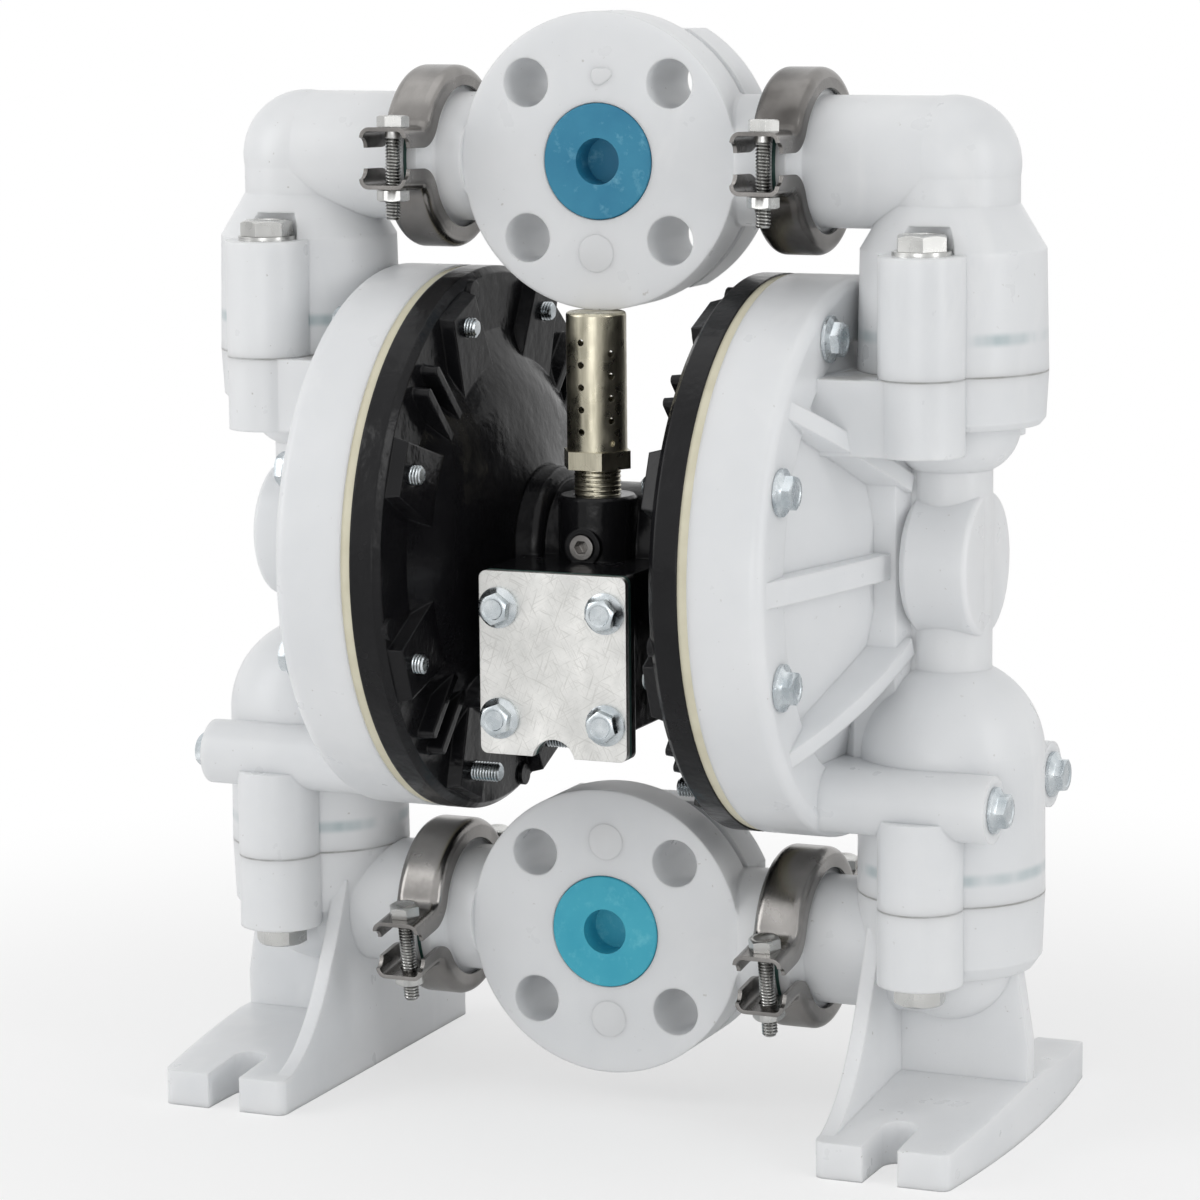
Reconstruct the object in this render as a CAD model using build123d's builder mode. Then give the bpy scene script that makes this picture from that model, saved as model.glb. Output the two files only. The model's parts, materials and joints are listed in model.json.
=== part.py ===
from build123d import *
import os
from math import atan2, cos, degrees, hypot, radians, sin, sqrt

os.makedirs("parts", exist_ok=True)

# ------------------------------------------------------------------ driving dimensions (mm)
# X is the diaphragm shaft, -Y the side of the ports, Z = 0 the floor under the feet.
AXIS_Z = 223.0             # diaphragm shaft above the floor
PORT_RISE = 152.5          # port axes above and below the shaft
UPPER_Z = AXIS_Z + PORT_RISE
LOWER_Z = AXIS_Z - PORT_RISE
ELBOW_X = 137.0            # valve columns to either side of the middle
CLAMP_X = 77.0             # joints between the manifolds and the elbows

FLANGE_R = 57.5            # DN25 flanges
FLANGE_FACE_Y = -22.5
FLANGE_T = 20.0
FLANGE_PCD = 85.0
FLANGE_HOLE_R = 9.5
FLANGE_HOLE_DEPTH = 42.5
BACK_FLANGE_Y = (2.0, 20.0)
PORT_R = 14.0
PLUG_DISC_R = 22.4
PLUG_SEAT_DEPTH = 4.0
PLUG_STEM = 16.0

PIPE_R = 25.4
PIPE_BORE_R = 18.0
FERRULE_R = 34.3
FERRULE_LIP = 5.0
FERRULE_NECK = 8.2
GASKET_T = 1.6
GASKET_BEAD = (23.0, 1.9)  # radius of the gasket's bead and half its thickness

CLAMP_R = 36.0             # outside of the channel clamps
CLAMP_T = 1.6
CLAMP_HALF_W = 10.0
CLAMP_DEPTH = 8.0          # height of the channel's lips
EAR_RISE = 12.0            # ear plates from the split plane
EAR_BEND_R = 6.0
EAR_END = 54.0
EAR_BOLT = 44.5
EAR_BEND_Y = sqrt((CLAMP_R + EAR_BEND_R) ** 2 - (EAR_RISE + EAR_BEND_R) ** 2)
EAR_HOLE_R = 3.6
CLAMP_CROWN_R = 4.0        # rounding of the pressed channel, outside
LIP_END_R = 4.0            # rounding of the lips at the ear ends
UPPER_CLAMP_TILT = -1.9    # turn of the clamps on their pipes
LOWER_CLAMP_TILT = 8.5

FOOT_Y = 87.0              # feet: half length, thickness at the toes and in the middle
FOOT_X = (112.0, 165.0)
FOOT_BULGE = 170.6
TOE_T = 14.0
FOOT_T = 21.0
SLOT_X = 138.5
SLOT_W = 14.0
SLOT_END_Y = 58.0
WEB_T = 6.0
BULB_R = 27.0

RIM_R = 109.0              # diaphragm housings
CAP_BOLT_R = 95.3
CAP_BOLT_START = 22.5
CAP_THREAD_R = 3.9         # housing bolts and the ends of the short and the long ones
CAP_BOLT_HEAD = 6.5
CAP_THREAD_END = 45.5
LONG_THREAD_END = 38.0
BEAD_X = (67.0, 71.0)      # diaphragm bead between the two housings
AIR_RIM_X = 55.0
FLUID_RIM_X = 100.0
HUB_X = 34.0               # where the air housings meet the centre body
HUB_R = 25.0
COLLAR_R = 30.0
COLLAR_X = 23.0
CHAMBER_R = 84.0

UPPER_PARTING = AXIS_Z + 74.5
LOWER_PARTING = AXIS_Z - 128.0
HOUSING_R = 36.0
BOSS_R = 16.5
BOSS_Y = 37.0
ELBOW_BOLT_R = 4.9
SPOT_FACE_R = 12.0
SPOT_FACE_H = 10.0
ELBOW_BOLT_FLATS = 18.0
ELBOW_BOLT_HEAD = 6.4
ELBOW_WASHER_T = 1.6
UPPER_BOSS_TOP = AXIS_Z + 120.5
UPPER_BLOCK_BOTTOM = AXIS_Z + 45.5
LOWER_BLOCK = (AXIS_Z - 101.0, AXIS_Z - 75.0)
LOWER_BOSS_BOTTOM = AXIS_Z - 157.5
LONG_BOSS_X = 166.0
LONG_BOSS_R = 13.0
BARREL_R = 28.0            # round end of the fluid housing
BARREL_X = (124.0, 151.5)
PILLAR_R = 15.5
RIB_END_X = (100.0, 126.0)  # outer edge of the slanting ribs at the rim and at the column
INSERT_R = 7.0
INSERT_H = 22.0
CAP_HOLE_R = 4.4

BALL_R = 17.0
BALL_LIFT = 9.0
SEAT_R = 28.4
SEAT_H = 18.0
SEAT_BORE_R = 12.0
SEAT_CONE = 4.0
UPPER_SEAT_Z = UPPER_PARTING - 1.5
LOWER_SEAT_Z = LOWER_PARTING - 5.5
CAGE_R = 24.0
FIN_T = 4.0                # guide ribs of the ball cages
FIN_INNER = 8.0
BALL_CENTRE = SEAT_H - SEAT_CONE - SEAT_BORE_R + BALL_R * sqrt(2) + 0.02

SHAFT_R = 9.0
STUD_R = 6.0
PLATE_R = 40.0
PLATE_X = (61.0, 67.5, 70.5, 76.0)  # inner plate, diaphragm web, outer plate
CAP_NUT_X = 80.0
PILOT_R = 3.0
PILOT_DROP = 33.0
PILOT_END = 53.7
SPOOL_R = 12.0
SPOOL_HALF = 21.5
SPOOL_Y = -42.0
SPOOL_DROP = 34.0
SPOOL_ROOM = 27.0
RUNNING_GAP = 0.05

BLOCK_FRONT_Y = -66.0      # main air valve block and its cover
BLOCK_X = 30.6
BLOCK_TOP = -1.5
BLOCK_BOTTOM = -73.0
COVER_T = 3.0
COVER_GASKET_T = 2.0
COVER_BOLTS = ((-22.2, -15.6), (22.2, -15.6), (-22.2, -58.8), (22.2, -58.8))
NOTCH_R = 9.0
NOTCH_DROP = -75.0
MUFFLER_Y = -25.5
MUFFLER_BOSS = (15.5, 23.5)  # radius and top of the silencer boss
MUFFLER_HEX_Z = AXIS_Z + 34.0
MUFFLER_CAN = (11.75, 41.0, 95.0)  # radius, bottom and top of the perforated can
HOLE_ROWS = 5
HOLE_COLUMNS = 6
HOLE_PITCH = 8.7
HOLE_START = 22.0          # direction of the first column of perforations
HOLE_MIDDLE = 66.2         # middle of a column above the shaft
INLET_Y = 40.0
INLET_RISE = 8.0
INLET_HEX_T = 12.0
INLET_THREAD_R = 5.7
PLUG_Y = -41.5
PLUG_RISE = 4.5

PAD_X = 49.5               # air housings: pads around the bolts and ribs between them
PAD_HALF_W = 15.0
PAD_REACH = (64.0, 104.0)
RIB_X = 48.5
RIB_REACH = (66.0, 101.0)
RIB_SPACING = 11.0
DRAIN_BOSS = (38.0, -54.0)


# ------------------------------------------------------------------ planes and small helpers
def across(x, z=AXIS_Z):
    """Plane square to the shaft: local x points to the rear, local y up."""
    return Plane(origin=(x, 0, z), x_dir=(0, 1, 0), z_dir=(1, 0, 0))


def upright(x, z=0.0, y=0.0):
    """Plane through a vertical axis at x: local x is the radius, local y the height."""
    return Plane(origin=(x, y, z), x_dir=(1, 0, 0), z_dir=(0, -1, 0))


def facing_front(y, z):
    """Plane square to Y whose normal points to the front."""
    return Plane(origin=(0, y, z), x_dir=(1, 0, 0), z_dir=(0, -1, 0))


def vertical_axis(x, y=0.0):
    return Axis((x, y, 0), (0, 0, 1))


def shaft_axis(z=AXIS_Z):
    return Axis((0, 0, z), (1, 0, 0))


def save(part, label):
    part.label = label
    export_step(part, f"parts/{label}.step")


def mirrored(part):
    """The same piece for the left side of the pump."""
    with BuildPart() as copy:
        mirror(part, about=Plane.YZ)
    return copy.part


def joined(pieces):
    """Separate solids that share one node."""
    return Compound(children=[solid for piece in pieces for solid in piece.solids()])


def hex_bolt(across_flats, head, shank_r, length, flange_r=0.0, flange_t=0.0):
    """Hex screw along +Z with the underside of its head at the origin, shank downwards."""
    with BuildPart() as bolt:
        with BuildSketch(Plane.XY.offset(flange_t)):
            RegularPolygon(across_flats / 2, 6, major_radius=False)
        extrude(amount=head - flange_t)
        with BuildSketch(Plane.XY.offset(head)):
            Circle(across_flats / 2 * 1.02)
        extrude(amount=-head, taper=-45, mode=Mode.INTERSECT)
        if flange_r:
            with BuildSketch():
                Circle(flange_r)
            extrude(amount=flange_t * 0.6)
            with BuildSketch(Plane.XY.offset(flange_t * 0.6)):
                Circle(flange_r)
            with BuildSketch(Plane.XY.offset(flange_t)):
                Circle(across_flats / 2 * 1.06)
            loft()
        with BuildSketch():
            Circle(shank_r)
        extrude(amount=-length)
        chamfer(bolt.faces().sort_by(Axis.Z)[0].edges(), shank_r * 0.2)
    return bolt.part


def hex_nut(across_flats, height, hole_r):
    """Hex nut standing on the XY plane."""
    with BuildPart() as nut:
        with BuildSketch():
            RegularPolygon(across_flats / 2, 6, major_radius=False)
            Circle(hole_r, mode=Mode.SUBTRACT)
        extrude(amount=height)
    return nut.part


def washer(outer_r, inner_r, height):
    with BuildPart() as ring:
        with BuildSketch():
            Circle(outer_r)
            Circle(inner_r, mode=Mode.SUBTRACT)
        extrude(amount=height)
    return ring.part


def ferrule(x, z, side):
    """Clamped pipe end: a lip that tapers back to the pipe, on the side it faces away from."""
    face = x + side * GASKET_T / 2
    with BuildPart() as end:
        with BuildSketch(upright(0, z)):
            with BuildLine():
                Polyline(
                    (face, 0),
                    (face, FERRULE_R),
                    (x + side * FERRULE_LIP, FERRULE_R),
                    (x + side * FERRULE_NECK, PIPE_R),
                    (x + side * FERRULE_NECK, 0),
                    close=True,
                )
            make_face()
        revolve(axis=shaft_axis(z))
        with BuildSketch(across(face, z)):
            Circle(GASKET_BEAD[0] + GASKET_BEAD[1])
            Circle(GASKET_BEAD[0] - GASKET_BEAD[1], mode=Mode.SUBTRACT)
        extrude(amount=side * GASKET_BEAD[1], mode=Mode.SUBTRACT)
    return end.part


def valve_cavity(seat_z, top_z, top_r):
    """Room over a ball seat, with the ribs that guide the ball and stop it left standing."""
    seat_top = seat_z + SEAT_H
    stop_z = seat_z + BALL_CENTRE + BALL_LIFT + sqrt(BALL_R**2 - FIN_INNER**2) + 0.1
    with BuildPart() as room:
        with BuildSketch(upright(ELBOW_X)):
            with BuildLine():
                Polyline(
                    (0, seat_z),
                    (SEAT_R + 0.1, seat_z),
                    (SEAT_R + 0.1, seat_top + 0.1),
                    (CAGE_R, seat_top + 0.1),
                    (CAGE_R, seat_top + CAGE_R),
                    (top_r, top_z),
                    (0, top_z),
                    close=True,
                )
            make_face()
        revolve(axis=vertical_axis(ELBOW_X))
        with BuildSketch(Plane.XY.offset(seat_top + 0.1)):
            with Locations((ELBOW_X, 0)):
                with PolarLocations((BALL_R + 0.8 + CAGE_R) / 2 + 1, 4, start_angle=45):
                    Rectangle(CAGE_R - BALL_R + 1.2, FIN_T)
        extrude(amount=top_z - seat_top, mode=Mode.SUBTRACT)
        with BuildSketch(Plane.XY.offset(stop_z)):
            with Locations((ELBOW_X, 0)):
                with PolarLocations(FIN_INNER + CAGE_R / 2, 4, start_angle=45):
                    Rectangle(CAGE_R, FIN_T)
        extrude(amount=top_z - stop_z, mode=Mode.SUBTRACT)
    return room.part


# ------------------------------------------------------------------ manifolds
def manifold(z):
    """Pipe between the two elbows with a flanged port in the middle."""
    with BuildPart() as body:
        for side in (-1, 1):
            add(ferrule(side * CLAMP_X, z, -side))
        with BuildSketch(across(-CLAMP_X + FERRULE_LIP, z)):
            Circle(PIPE_R)
        extrude(amount=2 * (CLAMP_X - FERRULE_LIP))
        with BuildSketch(facing_front(FLANGE_FACE_Y + FLANGE_T, z)):
            Circle(FLANGE_R)
        extrude(amount=FLANGE_T)
        chamfer(body.faces().sort_by(Axis.Y)[0].edges(), 0.8)
        with BuildSketch(facing_front(BACK_FLANGE_Y[0], z)):
            Circle(FLANGE_R - 2.5)
        extrude(amount=FLANGE_T / 2)
        with BuildSketch(facing_front(BACK_FLANGE_Y[1], z)):
            Circle(FLANGE_R)
            Rectangle(2 * (FLANGE_R - 5.5), 2 * (FLANGE_R - 7.5), mode=Mode.INTERSECT)
        extrude(amount=BACK_FLANGE_Y[1] - BACK_FLANGE_Y[0])
        # the pipe stays behind the flange face
        with BuildSketch(facing_front(FLANGE_FACE_Y, z)):
            Circle(FLANGE_R)
        extrude(amount=PIPE_R, mode=Mode.SUBTRACT)
        # bolt holes through both flanges
        with BuildSketch(facing_front(FLANGE_FACE_Y, z)):
            with PolarLocations(FLANGE_PCD / 2, 4, start_angle=45):
                Circle(FLANGE_HOLE_R)
        extrude(amount=-FLANGE_HOLE_DEPTH, mode=Mode.SUBTRACT)
        # waterway, port and the seat of the port plug
        with BuildSketch(across(-CLAMP_X, z)):
            Circle(PIPE_BORE_R)
        extrude(amount=2 * CLAMP_X, mode=Mode.SUBTRACT)
        with BuildSketch(facing_front(0, z)):
            Circle(PORT_R)
        extrude(amount=-FLANGE_FACE_Y, mode=Mode.SUBTRACT)
        with BuildSketch(facing_front(FLANGE_FACE_Y + PLUG_SEAT_DEPTH, z)):
            Circle(PLUG_DISC_R + 0.3)
        extrude(amount=PLUG_SEAT_DEPTH, mode=Mode.SUBTRACT)
    return body.part


save(manifold(UPPER_Z), "upper_manifold")
save(manifold(LOWER_Z), "lower_manifold")


def port_plug(z):
    """Shipping plug: a disc seated in the port with a hollow stem."""
    with BuildPart() as plug:
        with BuildSketch(facing_front(FLANGE_FACE_Y + PLUG_SEAT_DEPTH, z)):
            Circle(PLUG_DISC_R)
        extrude(amount=PLUG_SEAT_DEPTH + 0.4)
        chamfer(plug.faces().sort_by(Axis.Y)[0].edges(), 0.4)
        with BuildSketch(facing_front(FLANGE_FACE_Y + PLUG_SEAT_DEPTH, z)):
            Circle(PORT_R - 0.3)
        extrude(amount=-(PLUG_STEM - PLUG_SEAT_DEPTH))
        with BuildSketch(facing_front(FLANGE_FACE_Y - 0.4, z)):
            Circle(9)
        extrude(amount=-(PLUG_STEM - 4), mode=Mode.SUBTRACT)
    return plug.part


save(port_plug(UPPER_Z), "port_plug_upper")
save(port_plug(LOWER_Z), "port_plug_lower")


# ------------------------------------------------------------------ upper elbows
with BuildPart() as upper_elbow:
    with BuildSketch(upright(ELBOW_X)):
        with BuildLine():
            Polyline(
                (0, UPPER_PARTING),
                (HOUSING_R + 0.5, UPPER_PARTING),
                (HOUSING_R - 0.5, UPPER_BOSS_TOP),
                (PIPE_R, UPPER_BOSS_TOP + 17),
                (PIPE_R, UPPER_Z),
                (0, UPPER_Z),
                close=True,
            )
        make_face()
    revolve(axis=vertical_axis(ELBOW_X))
    with Locations((ELBOW_X, 0, UPPER_Z)):
        Sphere(PIPE_R + 0.4)
    with BuildSketch(across(CLAMP_X + FERRULE_LIP, UPPER_Z)):
        Circle(PIPE_R)
    extrude(amount=ELBOW_X - CLAMP_X - FERRULE_LIP)
    with BuildSketch(Plane.XY.offset(UPPER_PARTING)):
        with Locations((ELBOW_X, -BOSS_Y), (ELBOW_X, BOSS_Y)):
            Circle(BOSS_R)
    extrude(amount=UPPER_BOSS_TOP - UPPER_PARTING)
    add(ferrule(CLAMP_X, UPPER_Z, 1))
    # waterway
    with BuildSketch(across(CLAMP_X, UPPER_Z)):
        Circle(PIPE_BORE_R)
    extrude(amount=ELBOW_X - CLAMP_X, mode=Mode.SUBTRACT)
    with Locations((ELBOW_X, 0, UPPER_Z)):
        Sphere(PIPE_BORE_R, mode=Mode.SUBTRACT)
    with BuildSketch(Plane.XY.offset(UPPER_Z)):
        with Locations((ELBOW_X, 0)):
            Circle(PIPE_BORE_R)
    extrude(amount=-24, mode=Mode.SUBTRACT)
    add(valve_cavity(UPPER_SEAT_Z, UPPER_Z - 23, PIPE_BORE_R), mode=Mode.SUBTRACT)
    with BuildSketch(Plane.XY.offset(UPPER_PARTING)):
        with Locations((ELBOW_X, -BOSS_Y), (ELBOW_X, BOSS_Y)):
            Circle(ELBOW_BOLT_R + 0.6)
    extrude(amount=UPPER_BOSS_TOP - UPPER_PARTING, mode=Mode.SUBTRACT)
    with BuildSketch(Plane.XY.offset(UPPER_BOSS_TOP)):
        with Locations((ELBOW_X, -BOSS_Y), (ELBOW_X, BOSS_Y)):
            Circle(SPOT_FACE_R)
    extrude(amount=SPOT_FACE_H, mode=Mode.SUBTRACT)

save(upper_elbow.part, "upper_elbow_right")
save(mirrored(upper_elbow.part), "upper_elbow_left")


# ------------------------------------------------------------------ lower elbows with feet
with BuildPart() as lower_elbow:
    # base: thicker towards the middle, outer edge bowed outwards
    with BuildSketch(across(FOOT_X[0], 0)):
        Polygon(
            (-FOOT_Y, 0), (FOOT_Y, 0), (FOOT_Y, TOE_T), (12, FOOT_T), (-12, FOOT_T), (-FOOT_Y, TOE_T),
            align=None,
        )
    extrude(amount=FOOT_BULGE - FOOT_X[0] + 1)
    with BuildSketch():
        with BuildLine():
            Polyline((FOOT_X[1], -FOOT_Y), (FOOT_X[0], -FOOT_Y), (FOOT_X[0], FOOT_Y), (FOOT_X[1], FOOT_Y))
            ThreePointArc((FOOT_X[1], FOOT_Y), (FOOT_BULGE, 0), (FOOT_X[1], -FOOT_Y))
        make_face()
    extrude(amount=FOOT_T + 1, mode=Mode.INTERSECT)
    fillet(lower_elbow.edges().filter_by(Axis.Z), 4)
    # inner web, flared from the housing down to the toes
    with BuildSketch(across(FOOT_X[0], AXIS_Z)):
        with BuildLine():
            Line((-27, -140), (-33, -154))
            Spline((-33, -154), (-44, -175), (-62, -198), (-84, -209.5))
            Line((-84, -209.5), (-84, -215))
            Line((-84, -215), (84, -215))
            Line((84, -215), (84, -209.5))
            Spline((84, -209.5), (62, -198), (44, -175), (33, -154))
            Line((33, -154), (27, -140))
            Line((27, -140), (-27, -140))
        make_face()
    extrude(amount=WEB_T)
    # cross web under the bulb
    with BuildSketch(upright(0, AXIS_Z, 4)):
        Polygon((114, -212), (169.5, -212), (170, -188), (164, -150), (114, -150), align=None)
    extrude(amount=8)
    # valve housing, bolt bosses and bulb
    with BuildSketch(upright(ELBOW_X)):
        with BuildLine():
            Polyline(
                (0, LOWER_PARTING),
                (HOUSING_R + 0.5, LOWER_PARTING),
                (HOUSING_R - 0.5, LOWER_BOSS_BOTTOM + 5),
                (HOUSING_R - 4, LOWER_BOSS_BOTTOM),
                (0, LOWER_BOSS_BOTTOM),
                close=True,
            )
        make_face()
    revolve(axis=vertical_axis(ELBOW_X))
    with Locations((ELBOW_X, 0, LOWER_Z)):
        Sphere(BULB_R)
    with BuildSketch(Plane.XY.offset(LOWER_PARTING)):
        with Locations((ELBOW_X, -BOSS_Y), (ELBOW_X, BOSS_Y)):
            Circle(BOSS_R)
    extrude(amount=LOWER_BOSS_BOTTOM - LOWER_PARTING)
    with BuildSketch(across(CLAMP_X + FERRULE_LIP, LOWER_Z)):
        Circle(PIPE_R)
    extrude(amount=ELBOW_X - CLAMP_X - FERRULE_LIP)
    add(ferrule(CLAMP_X, LOWER_Z, 1))
    # foot slots, open at the toes
    with BuildSketch():
        for side in (-1, 1):
            with Locations((SLOT_X, side * (SLOT_END_Y + SLOT_W / 2))):
                Circle(SLOT_W / 2)
            with Locations((SLOT_X, side * (SLOT_END_Y + SLOT_W / 2 + FOOT_Y) / 2)):
                Rectangle(SLOT_W, FOOT_Y - SLOT_END_Y - SLOT_W / 2 + 1)
    extrude(amount=FOOT_T + 1, mode=Mode.SUBTRACT)
    # waterway
    with BuildSketch(across(CLAMP_X, LOWER_Z)):
        Circle(PIPE_BORE_R)
    extrude(amount=ELBOW_X - CLAMP_X, mode=Mode.SUBTRACT)
    with Locations((ELBOW_X, 0, LOWER_Z)):
        Sphere(PIPE_BORE_R, mode=Mode.SUBTRACT)
    with BuildSketch(Plane.XY.offset(LOWER_Z)):
        with Locations((ELBOW_X, 0)):
            Circle(PIPE_BORE_R)
    extrude(amount=BULB_R + 1, mode=Mode.SUBTRACT)
    with BuildSketch(Plane.XY.offset(LOWER_SEAT_Z)):
        with Locations((ELBOW_X, 0)):
            Circle(SEAT_R + 0.1)
    extrude(amount=LOWER_PARTING - LOWER_SEAT_Z, mode=Mode.SUBTRACT)
    with BuildSketch(Plane.XY.offset(LOWER_PARTING)):
        with Locations((ELBOW_X, -BOSS_Y), (ELBOW_X, BOSS_Y)):
            Circle(ELBOW_BOLT_R + 0.6)
    extrude(amount=LOWER_BOSS_BOTTOM - LOWER_PARTING, mode=Mode.SUBTRACT)
    with BuildSketch(Plane.XY.offset(LOWER_BOSS_BOTTOM)):
        with Locations((ELBOW_X, -BOSS_Y), (ELBOW_X, BOSS_Y)):
            Circle(SPOT_FACE_R)
    extrude(amount=-SPOT_FACE_H, mode=Mode.SUBTRACT)
    # nothing of the pipe stands above the flat joint with the fluid housing
    with BuildSketch(Plane.XY.offset(LOWER_PARTING)):
        with Locations((ELBOW_X, 0)):
            Circle(HOUSING_R + 1)
    extrude(amount=5, mode=Mode.SUBTRACT)

save(lower_elbow.part, "lower_elbow_right")
save(mirrored(lower_elbow.part), "lower_elbow_left")


# ------------------------------------------------------------------ fluid housings
def slanting_rib(start, end, x_base, x_rim, x_column, thickness, bow):
    """Plate from a rim point to a column point, rising outwards along X by a bowed edge."""
    run = hypot(end[0] - start[0], end[1] - start[1])
    along = ((end[0] - start[0]) / run, (end[1] - start[1]) / run)
    plane = Plane(
        origin=(0, start[0], AXIS_Z + start[1]),
        x_dir=(0, along[0], along[1]),
        z_dir=(0, along[1], -along[0]),
    )
    with BuildPart() as rib:
        with BuildSketch(plane):
            with BuildLine():
                Polyline((run, x_column), (run, x_base), (0, x_base), (0, x_rim))
                ThreePointArc(
                    (0, x_rim),
                    (run / 2, (x_rim + x_column) / 2 + bow),
                    (run, x_column),
                )
            make_face()
        extrude(amount=thickness / 2, both=True)
        fillet(rib.edges().group_by(Axis.X)[-1], thickness * 0.2)
    return rib.part


with BuildPart() as fluid_cap:
    # round rim and sloping end wall
    with BuildSketch(upright(0, AXIS_Z)):
        with BuildLine():
            Polyline((BEAD_X[1], 0), (BEAD_X[1], RIM_R), (FLUID_RIM_X - 4.5, RIM_R))
            JernArc((FLUID_RIM_X - 4.5, RIM_R), (1, 0), 4.5, -90)
            Polyline(
                (FLUID_RIM_X, RIM_R - 4.5),
                (FLUID_RIM_X, CHAMBER_R + 1.5),
                (FLUID_RIM_X - 3, CHAMBER_R),
                (112, 26),
                (112, 0),
                (BEAD_X[1], 0),
            )
        make_face()
    revolve(axis=shaft_axis())
    # pillar from the lower valve to the upper one, its web and the round end of the housing
    with BuildSketch(Plane.XY.offset(LOWER_BLOCK[1] - 10)):
        Polygon(
            (98, -14), (104, -20), (121, -20), (ELBOW_X - 13, -11), (ELBOW_X, -11),
            (ELBOW_X, 11), (ELBOW_X - 13, 11), (121, 20), (104, 20), (98, 14),
            align=None,
        )
        with Locations((ELBOW_X, 0)):
            Circle(PILLAR_R)
    extrude(amount=UPPER_BLOCK_BOTTOM - LOWER_BLOCK[1] + 20)
    with BuildSketch(upright(0, AXIS_Z)):
        with BuildLine():
            Polyline(
                (BARREL_X[1] - 2, BARREL_R), (BARREL_X[0] + 3, BARREL_R), (BARREL_X[0], BARREL_R - 3),
                (BARREL_X[0], 0), (BARREL_X[1], 0), (BARREL_X[1], BARREL_R - 2),
            )
            ThreePointArc(
                (BARREL_X[1], BARREL_R - 2), (BARREL_X[1] - 0.6, BARREL_R - 0.6), (BARREL_X[1] - 2, BARREL_R)
            )
        make_face()
    revolve(axis=shaft_axis())
    # ribs: two level ones and four slanting ones
    for side in (-1, 1):
        add(slanting_rib((side * 103, 0), (side * 14, 0), 94, FLUID_RIM_X, 120, 10, 1))
        add(slanting_rib((side * 78, -66), (side * 12, -31), 94, *RIB_END_X, 7, 4))
        add(slanting_rib((side * 78, 66), (side * 12, 31), 94, *RIB_END_X, 7, 2))
    # upper port block
    with BuildSketch(Plane.XY.offset(UPPER_BLOCK_BOTTOM)):
        with Locations(((FLUID_RIM_X + ELBOW_X) / 2 - 3, 0)):
            Rectangle(ELBOW_X - FLUID_RIM_X + 6, 2 * (BOSS_Y + 13))
        with Locations((ELBOW_X, -BOSS_Y), (ELBOW_X, BOSS_Y)):
            Circle(BOSS_R)
    extrude(amount=UPPER_PARTING - UPPER_BLOCK_BOTTOM)
    with BuildSketch(upright(ELBOW_X)):
        with BuildLine():
            Polyline(
                (16, UPPER_BLOCK_BOTTOM - 9),
                (0, UPPER_BLOCK_BOTTOM - 9),
                (0, UPPER_PARTING),
                (HOUSING_R + 0.5, UPPER_PARTING),
                (HOUSING_R - 0.5, UPPER_BLOCK_BOTTOM + 11),
                (HOUSING_R - 2.5, UPPER_BLOCK_BOTTOM + 8.5),
                (26, UPPER_BLOCK_BOTTOM + 8.5),
            )
            ThreePointArc(
                (26, UPPER_BLOCK_BOTTOM + 8.5),
                (24, UPPER_BLOCK_BOTTOM - 1),
                (16, UPPER_BLOCK_BOTTOM - 9),
            )
        make_face()
    revolve(axis=vertical_axis(ELBOW_X))
    # lower port: domed housing, bolt bosses and the long bosses of two housing bolts
    with BuildSketch(upright(ELBOW_X)):
        with BuildLine():
            Polyline(
                (14, AXIS_Z - 40), (0, AXIS_Z - 40), (0, LOWER_PARTING),
                (HOUSING_R + 0.5, LOWER_PARTING), (HOUSING_R, AXIS_Z - 72),
            )
            ThreePointArc((HOUSING_R, AXIS_Z - 72), (29.5, AXIS_Z - 53), (14, AXIS_Z - 40))
        make_face()
    revolve(axis=vertical_axis(ELBOW_X))
    with BuildSketch(Plane.XY.offset(LOWER_PARTING)):
        with Locations((ELBOW_X, -BOSS_Y), (ELBOW_X, BOSS_Y)):
            Circle(BOSS_R)
    extrude(amount=LOWER_BLOCK[0] - LOWER_PARTING + 8)
    with BuildSketch(Plane.XY.offset(LOWER_BLOCK[0])):
        with Locations((123, 0)):
            Rectangle(54, 2 * CAP_BOLT_R * sin(radians(CAP_BOLT_START)))
    extrude(amount=LOWER_BLOCK[1] - LOWER_BLOCK[0])
    with BuildSketch(across(92)):
        with PolarLocations(CAP_BOLT_R, 2, start_angle=270 - CAP_BOLT_START, angular_range=45, endpoint=True):
            Circle(LONG_BOSS_R)
    extrude(amount=LONG_BOSS_X - 92)
    # liquid chamber, valve rooms and the duct between them
    with BuildSketch(upright(0, AXIS_Z)):
        Polygon(
            (BEAD_X[1], 0), (BEAD_X[1], CHAMBER_R), (75, CHAMBER_R - 3), (88, 66), (97, 28), (97, 0),
            align=None,
        )
    revolve(axis=shaft_axis(), mode=Mode.SUBTRACT)
    add(valve_cavity(LOWER_SEAT_Z, AXIS_Z - 76, 12.5), mode=Mode.SUBTRACT)
    with BuildSketch(Plane.XY.offset(AXIS_Z - 76.5)):
        with Locations((ELBOW_X, 0)):
            Circle(SEAT_BORE_R)
    extrude(amount=UPPER_PARTING - AXIS_Z + 76.5, mode=Mode.SUBTRACT)
    with BuildSketch(across(90)):
        Circle(11)
    extrude(amount=ELBOW_X - 90, mode=Mode.SUBTRACT)
    with BuildSketch(Plane.XY.offset(UPPER_SEAT_Z)):
        with Locations((ELBOW_X, 0)):
            Circle(SEAT_R + 0.1)
    extrude(amount=UPPER_PARTING - UPPER_SEAT_Z, mode=Mode.SUBTRACT)
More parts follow.
